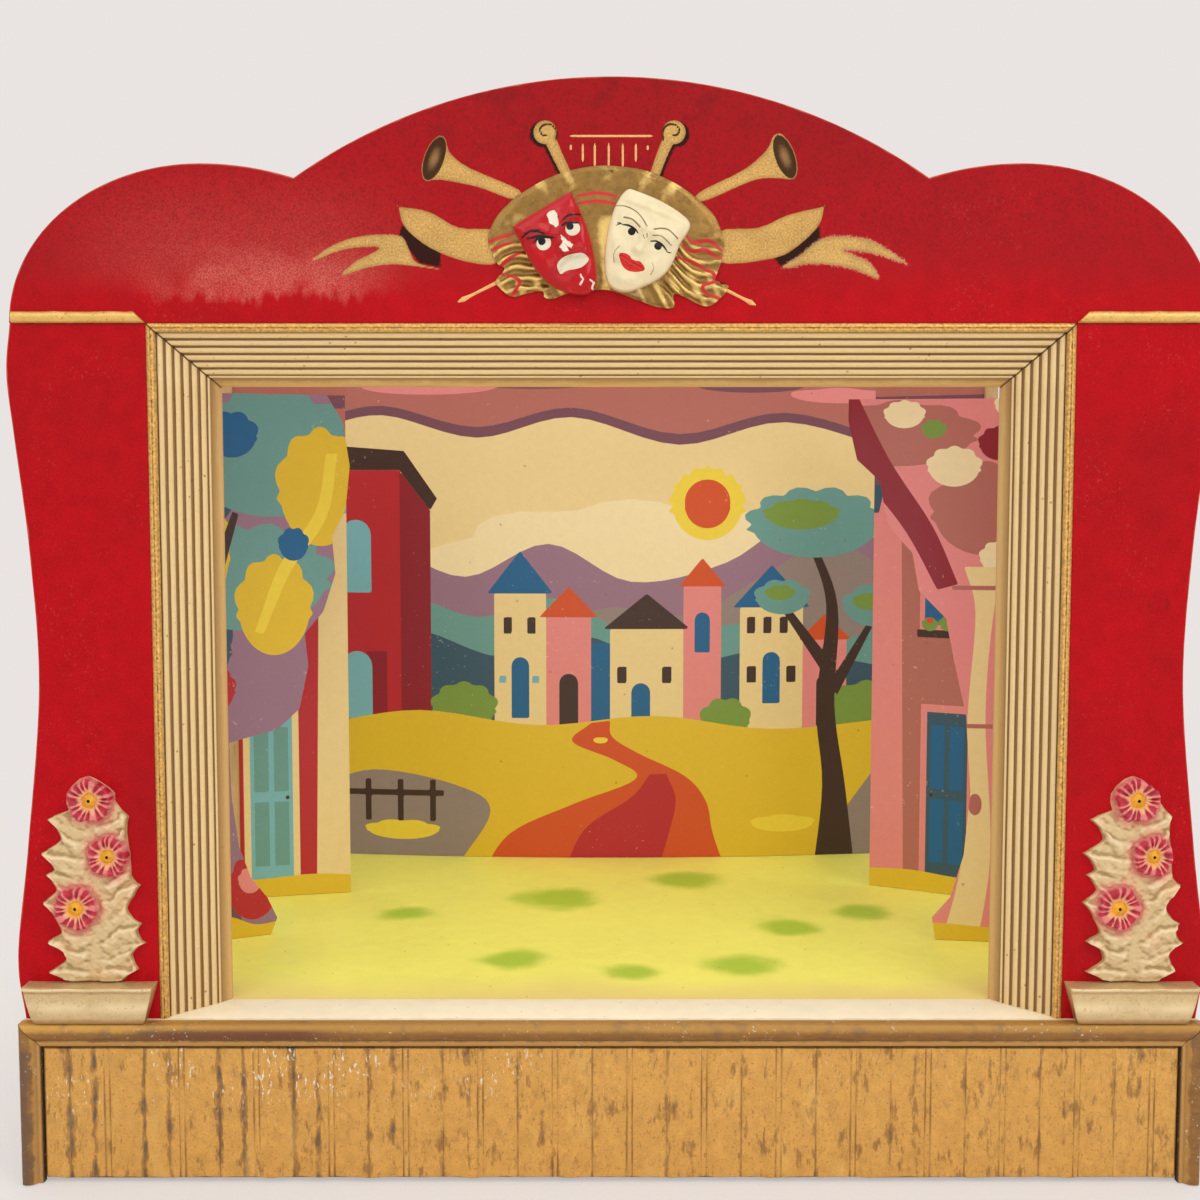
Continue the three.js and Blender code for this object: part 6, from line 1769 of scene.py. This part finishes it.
def cottage_art(wall, trim, glass, door):
    """Rear wings: the corner of a cottage, with a shuttered window, a door and a tiled roof edge."""
    tiles = [[(x, 318), (x + 17, 318), (x + 12, 296), (x + 5, 296)] for x in range(-4, 100, 17)]
    return [
        (wall, [oblong(-20, -20, 110, 420)]),
        (trim, [[(62, -20), (100, -20), (100, 420), (70, 420)], oblong(8, 206, 52, 282),
                oblong(8, 14, 50, 148)]),
        ("plum", [oblong(-20, 318, 110, 420)]),
        ("rose", [oblong(-20, 326, 110, 346), oblong(-20, 356, 110, 376), oblong(-20, 386, 110, 406)]),
        (door, [oblong(13, 14, 45, 142), *tiles]),
        (glass, [oblong(12, 210, 48, 278),
                 *[oblong(x, z, x + 11, z + 50) for x in (16, 31) for z in (24, 82)]]),
        ("brown", [oblong(29, 210, 31, 278), oblong(12, 243, 48, 245), oblong(6, 200, 54, 206),
                   cloud(41, 77, 3, 3, 1)]),
        ("leaf", [cloud(16, 210, 12, 10, 4), cloud(30, 211, 13, 11, 4), cloud(44, 210, 12, 10, 4)]),
        ("orange", [cloud(16, 213, 5, 5, 3), cloud(30, 215, 5, 5, 3), cloud(44, 213, 5, 5, 3)]),
        ("yellow", [rolling([(-20, 14), (20, 14), (60, 16), (110, 12)])]),
    ]


def art_marks(layers, across, up, front):
    """One signed distance for each layer of ink, over the whole sheet, and 1 on its printed side."""
    spots = np.stack([across.ravel(), up.ravel()], 1)
    marks = {f"ink_{index:02d}": np.min([area(spots, shape, 3.0) for shape in shapes],
                                        axis=0).reshape(across.shape)
             for index, (_, shapes) in enumerate(layers)}
    return {**marks, "printed": front.astype(float)}


def printed_card(name, ground, layers):
    """Lithographed card: flat inks laid one over another with a fine paper grain, pale scuffs, brown
    spots and a plain grey-brown back and cut edge."""
    f = Finish(name)
    fibre, fine, broad = f.noise(0.8, 3), f.noise(6, 4, seed=1), f.noise(90, 3, seed=2)
    ink = f.shade(broad, INKS[ground], 0.97, 1.03)
    for index, (shade, _) in enumerate(layers):
        ink = f.mix(f.band(f.mark(f"ink_{index:02d}") + (fibre - 0.5) * 0.15, 0.12, -0.12), ink, INKS[shade])
    ink = f.shade(fibre * 0.6 + fine * 0.4, ink, 0.94, 1.06)
    scuffs = f.band(f.noise(3, 4, seed=3), 0.66, 0.72) * f.band(f.noise(70, 2, seed=4), 0.5, 0.66)
    ink = f.mix(scuffs * 0.4, ink, rgb(238, 220, 180))
    ink = f.mix(f.band(f.cells(26, 5), 0.06, 0.02) * 0.5, ink, rgb(128, 92, 52))
    board = f.shade(fibre * 0.5 + broad * 0.5, rgb(190, 164, 126), 0.86, 1.1)
    ink = f.mix(f.mark("printed"), board, ink)
    return f.done(ink, rough=0.52 + (fine - 0.5) * 0.2 - f.mark("printed") * 0.06,
                  normal=f.bump(fibre * 0.6 + fine * 0.4, 0.08, 0.5), Specular_IOR_Level=0.4)


# Inner edges of the front cards: share of the height, share of the reach
TREE_EDGE = [(0, 0.46), (0.03, 0.5), (0.07, 0.44), (0.11, 0.34), (0.17, 0.27), (0.26, 0.23), (0.365, 0.22),
             (0.374, 0.36), (0.384, 0.52), (0.42, 0.66), (0.5, 0.72), (0.56, 0.7), (0.6, 0.82), (0.67, 0.9),
             (0.74, 0.88), (0.79, 0.97), (0.87, 1), (0.95, 0.96), (1, 0.86)]
BLOSSOM_EDGE = [(0, 0.48), (0.04, 0.5), (0.08, 0.4), (0.16, 0.33), (0.28, 0.3), (0.42, 0.33), (0.52, 0.4),
                (0.6, 0.45), (0.65, 0.6), (0.72, 0.64), (0.77, 0.78), (0.85, 0.82), (0.89, 0.95), (0.96, 1),
                (1, 1)]
SCENERY_FOOT = DECK + GAP
# A card's outer edge: clear of the post's foot below the cut, past the post's axis above it
CARD_CUT, CARD_CLEAR, CARD_TONGUE = 4.3, 5.5, -1.7
BACKDROP_HALF, BACKDROP_HIGH, BACKDROP_BOW, BACKDROP_Y = 250, 425, 19.6, 422.6


class THEATRE_OT_scenery(bpy.types.Operator):
    """Four scenery cards in their posts and the bowed backdrop behind them"""
    bl_idname = "theatre.scenery"
    bl_label = "Scenery"

    def execute(self, context):
        rows = sizes().card_rows
        # reach from the post's axis, height, inner edge, ground ink, layers of ink
        designs = {
            "front_left": (113, 381, TREE_EDGE, "mauve", tree_art()),
            "front_right": (124, 377, BLOSSOM_EDGE, "pink", blossom_art()),
            "rear_left": (88.5, 400, [(0, 1), (1, 1)], "red", cottage_art("red", "cream", "teal", "sky")),
            "rear_right": (90, 400, [(0, 1), (1, 1)], "rose", cottage_art("rose", "pink", "blue", "slate")),
        }
        for name, hand, y, angle in WING_PLACES:
            reach, high, edge, ground, layers = designs[name]
            heights = np.unique(np.concatenate([np.linspace(0, high, rows),
                                                [CARD_CUT - 0.01, CARD_CUT + 0.01]]))
            share, out = np.array(edge).T
            inner = np.interp(heights / high, share, out) * reach
            outer = np.where(heights < CARD_CUT, CARD_CLEAR, CARD_TONGUE)
            face, rear = (-1, 1) if hand < 0 else (1, -1)

            def marks(z, s, depth):
                return art_marks(layers, s, z, np.abs(depth - face) < 0.3)

            card = slab(heights, outer, inner, face, rear, 78,
                        lambda z, s, depth: (s, depth, z + SCENERY_FOOT), 0.3, marks)
            card.spots = turned(card.spots, angle, (hand * POST_X, y))
            piece("printed_card_" + name, [card], name + "_card",
                  printed_card("ink_" + name, ground, layers), ["wing_card_" + name], sharp=60)

        layers = village_art()

        def backdrop_marks(x, z, depth):
            return art_marks(layers, x, z - SCENERY_FOOT, depth < -0.7)

        def bowed(x, z, depth):
            return x, BACKDROP_Y - BACKDROP_BOW * (1 - (x / BACKDROP_HALF) ** 2) + depth, z

        sheet = slab(np.linspace(-BACKDROP_HALF, BACKDROP_HALF, 290), SCENERY_FOOT,
                     SCENERY_FOOT + BACKDROP_HIGH, -1, 1, 244, bowed, 0.3, backdrop_marks)
        piece("printed_backdrop", [sheet], "backdrop",
              printed_card("ink_backdrop", "cream", layers), ["backdrop"], sharp=60)
        return {"FINISHED"}


# The set it is shown on

BACKGROUND = (233, 228, 225)
# Lamps: name, place in metres, watts, side of the square in metres
LAMPS = (("key", (-1.0, -1.5, 1.6), 5, 1.0), ("fill", (1.1, -1.5, 1.6), 9, 1.0),
         ("low", (0.1, -1.9, 0.4), 4, 1.0), ("top", (0.0, -0.4, 1.75), 4, 1.2),
         ("back", (0.2, 1.8, 1.6), 8, 1.6))
AIM = Vector((0, 0, 0.3))
CAMERA_SPOT, CAMERA_DOWN = (-0.0065, -1.1345, 0.4199), 4.36


def studio_floor(scene):
    """A wide disc just under the theatre, which fades into the background away from it."""
    turn = np.linspace(0, 2 * math.pi, 64, endpoint=False)
    skin = Shell([np.stack([r * np.cos(turn), r * np.sin(turn), 0 * turn - 0.0006], 1)
                  for r in (0.0, 1.0, 4.0, 12.0)])
    mesh = bpy.data.meshes.new("studio_floor")
    mesh.from_pydata(skin.spots.tolist(), [], skin.quads.tolist())
    floor = bpy.data.objects.new("studio_floor", mesh)
    scene.collection.objects.link(floor)
    f = Finish("pale_floor")
    near = f.from_spot(0, 0)
    paper = f.shade(f.noise(300, 2), rgb(238, 233, 229), 0.99, 1.01)
    material = f.done(paper, rough=0.75, Specular_IOR_Level=0.2)
    glow = f.node("Emission", values={"Color": rgb(*BACKGROUND), "Strength": 1.0})
    seen = f.node("LightPath", out="Is Camera Ray")
    far = (0.52 + 0.48 * f.band(near, 420, 1400)) * seen
    shown = f.node("MixShader", values={0: far, 1: Wire(f, f.shader.outputs[0]), 2: glow})
    f.tree.links.new(shown.socket, f.tree.nodes["Material Output"].inputs[0])
    mesh.materials.append(material)


def studio_world(scene):
    """Soft white light all round, seen as the plain background by the camera."""
    world = bpy.data.worlds.new("pale_studio")
    world.use_nodes = True
    scene.world = world
    tree = world.node_tree
    tree.nodes.clear()
    path, seen = tree.nodes.new("ShaderNodeLightPath"), tree.nodes.new("ShaderNodeMath")
    seen.operation = "MAXIMUM"
    tree.links.new(path.outputs["Is Camera Ray"], seen.inputs[0])
    tree.links.new(path.outputs["Is Transmission Ray"], seen.inputs[1])
    lit, shown = (tree.nodes.new("ShaderNodeBackground") for _ in range(2))
    lit.inputs["Color"].default_value = (1, 0.985, 0.97, 1)
    lit.inputs["Strength"].default_value = 0.76
    shown.inputs["Color"].default_value = (*rgb(*BACKGROUND), 1)
    mixer, output = tree.nodes.new("ShaderNodeMixShader"), tree.nodes.new("ShaderNodeOutputWorld")
    tree.links.new(seen.outputs[0], mixer.inputs[0])
    tree.links.new(lit.outputs[0], mixer.inputs[1])
    tree.links.new(shown.outputs[0], mixer.inputs[2])
    tree.links.new(mixer.outputs[0], output.inputs[0])


class THEATRE_OT_studio(bpy.types.Operator):
    """Pale floor, plain soft light and the camera at the photograph's viewing angle"""
    bl_idname = "theatre.studio"
    bl_label = "Studio"

    def execute(self, context):
        scene = context.scene
        scene.view_settings.view_transform = "Standard"
        studio_floor(scene)
        studio_world(scene)
        for name, spot, power, size in LAMPS:
            lamp = bpy.data.lights.new(name, "AREA")
            lamp.energy, lamp.size = power, size
            light = bpy.data.objects.new(name, lamp)
            light.location = spot
            light.rotation_euler = (AIM - Vector(spot)).to_track_quat("-Z", "Y").to_euler()
            scene.collection.objects.link(light)
        lens = bpy.data.cameras.new("camera")
        lens.lens, lens.sensor_width, lens.clip_start = sizes().lens, 36, 0.01
        camera = bpy.data.objects.new("camera", lens)
        camera.location = CAMERA_SPOT
        camera.rotation_euler = (math.radians(90 - CAMERA_DOWN), 0, 0)
        scene.collection.objects.link(camera)
        scene.camera = camera
        return {"FINISHED"}


OPERATORS = (THEATRE_OT_studio, THEATRE_OT_facade_boards, THEATRE_OT_fluted_frame, THEATRE_OT_cast_ornament,
             THEATRE_OT_stage_box, THEATRE_OT_timber, THEATRE_OT_scenery)


class THEATRE_PT_pieces(bpy.types.Panel):
    """Lists the theatre's pieces in the sidebar"""
    bl_idname = "THEATRE_PT_pieces"
    bl_label = "Puppet Theatre"
    bl_space_type = "VIEW_3D"
    bl_region_type = "UI"
    bl_category = "Theatre"

    def draw(self, context):
        for group in (context.scene.theatre_sizes, context.scene.theatre_colours):
            box = self.layout.box()
            for key in group.__annotations__:
                box.prop(group, key)
        for operator in OPERATORS:
            self.layout.operator(operator.bl_idname)


CLASSES = (TheatreSizes, TheatreColours, *OPERATORS, THEATRE_PT_pieces)


def register():
    for item in CLASSES:
        bpy.utils.register_class(item)
    bpy.types.Scene.theatre_sizes = PointerProperty(type=TheatreSizes)
    bpy.types.Scene.theatre_colours = PointerProperty(type=TheatreColours)


def unregister():
    del bpy.types.Scene.theatre_colours
    del bpy.types.Scene.theatre_sizes
    for item in reversed(CLASSES):
        bpy.utils.unregister_class(item)


def main():
    register()
    for operator in OPERATORS:
        group, name = operator.bl_idname.split(".")
        getattr(getattr(bpy.ops, group), name)()


if __name__ == "__main__":
    main()
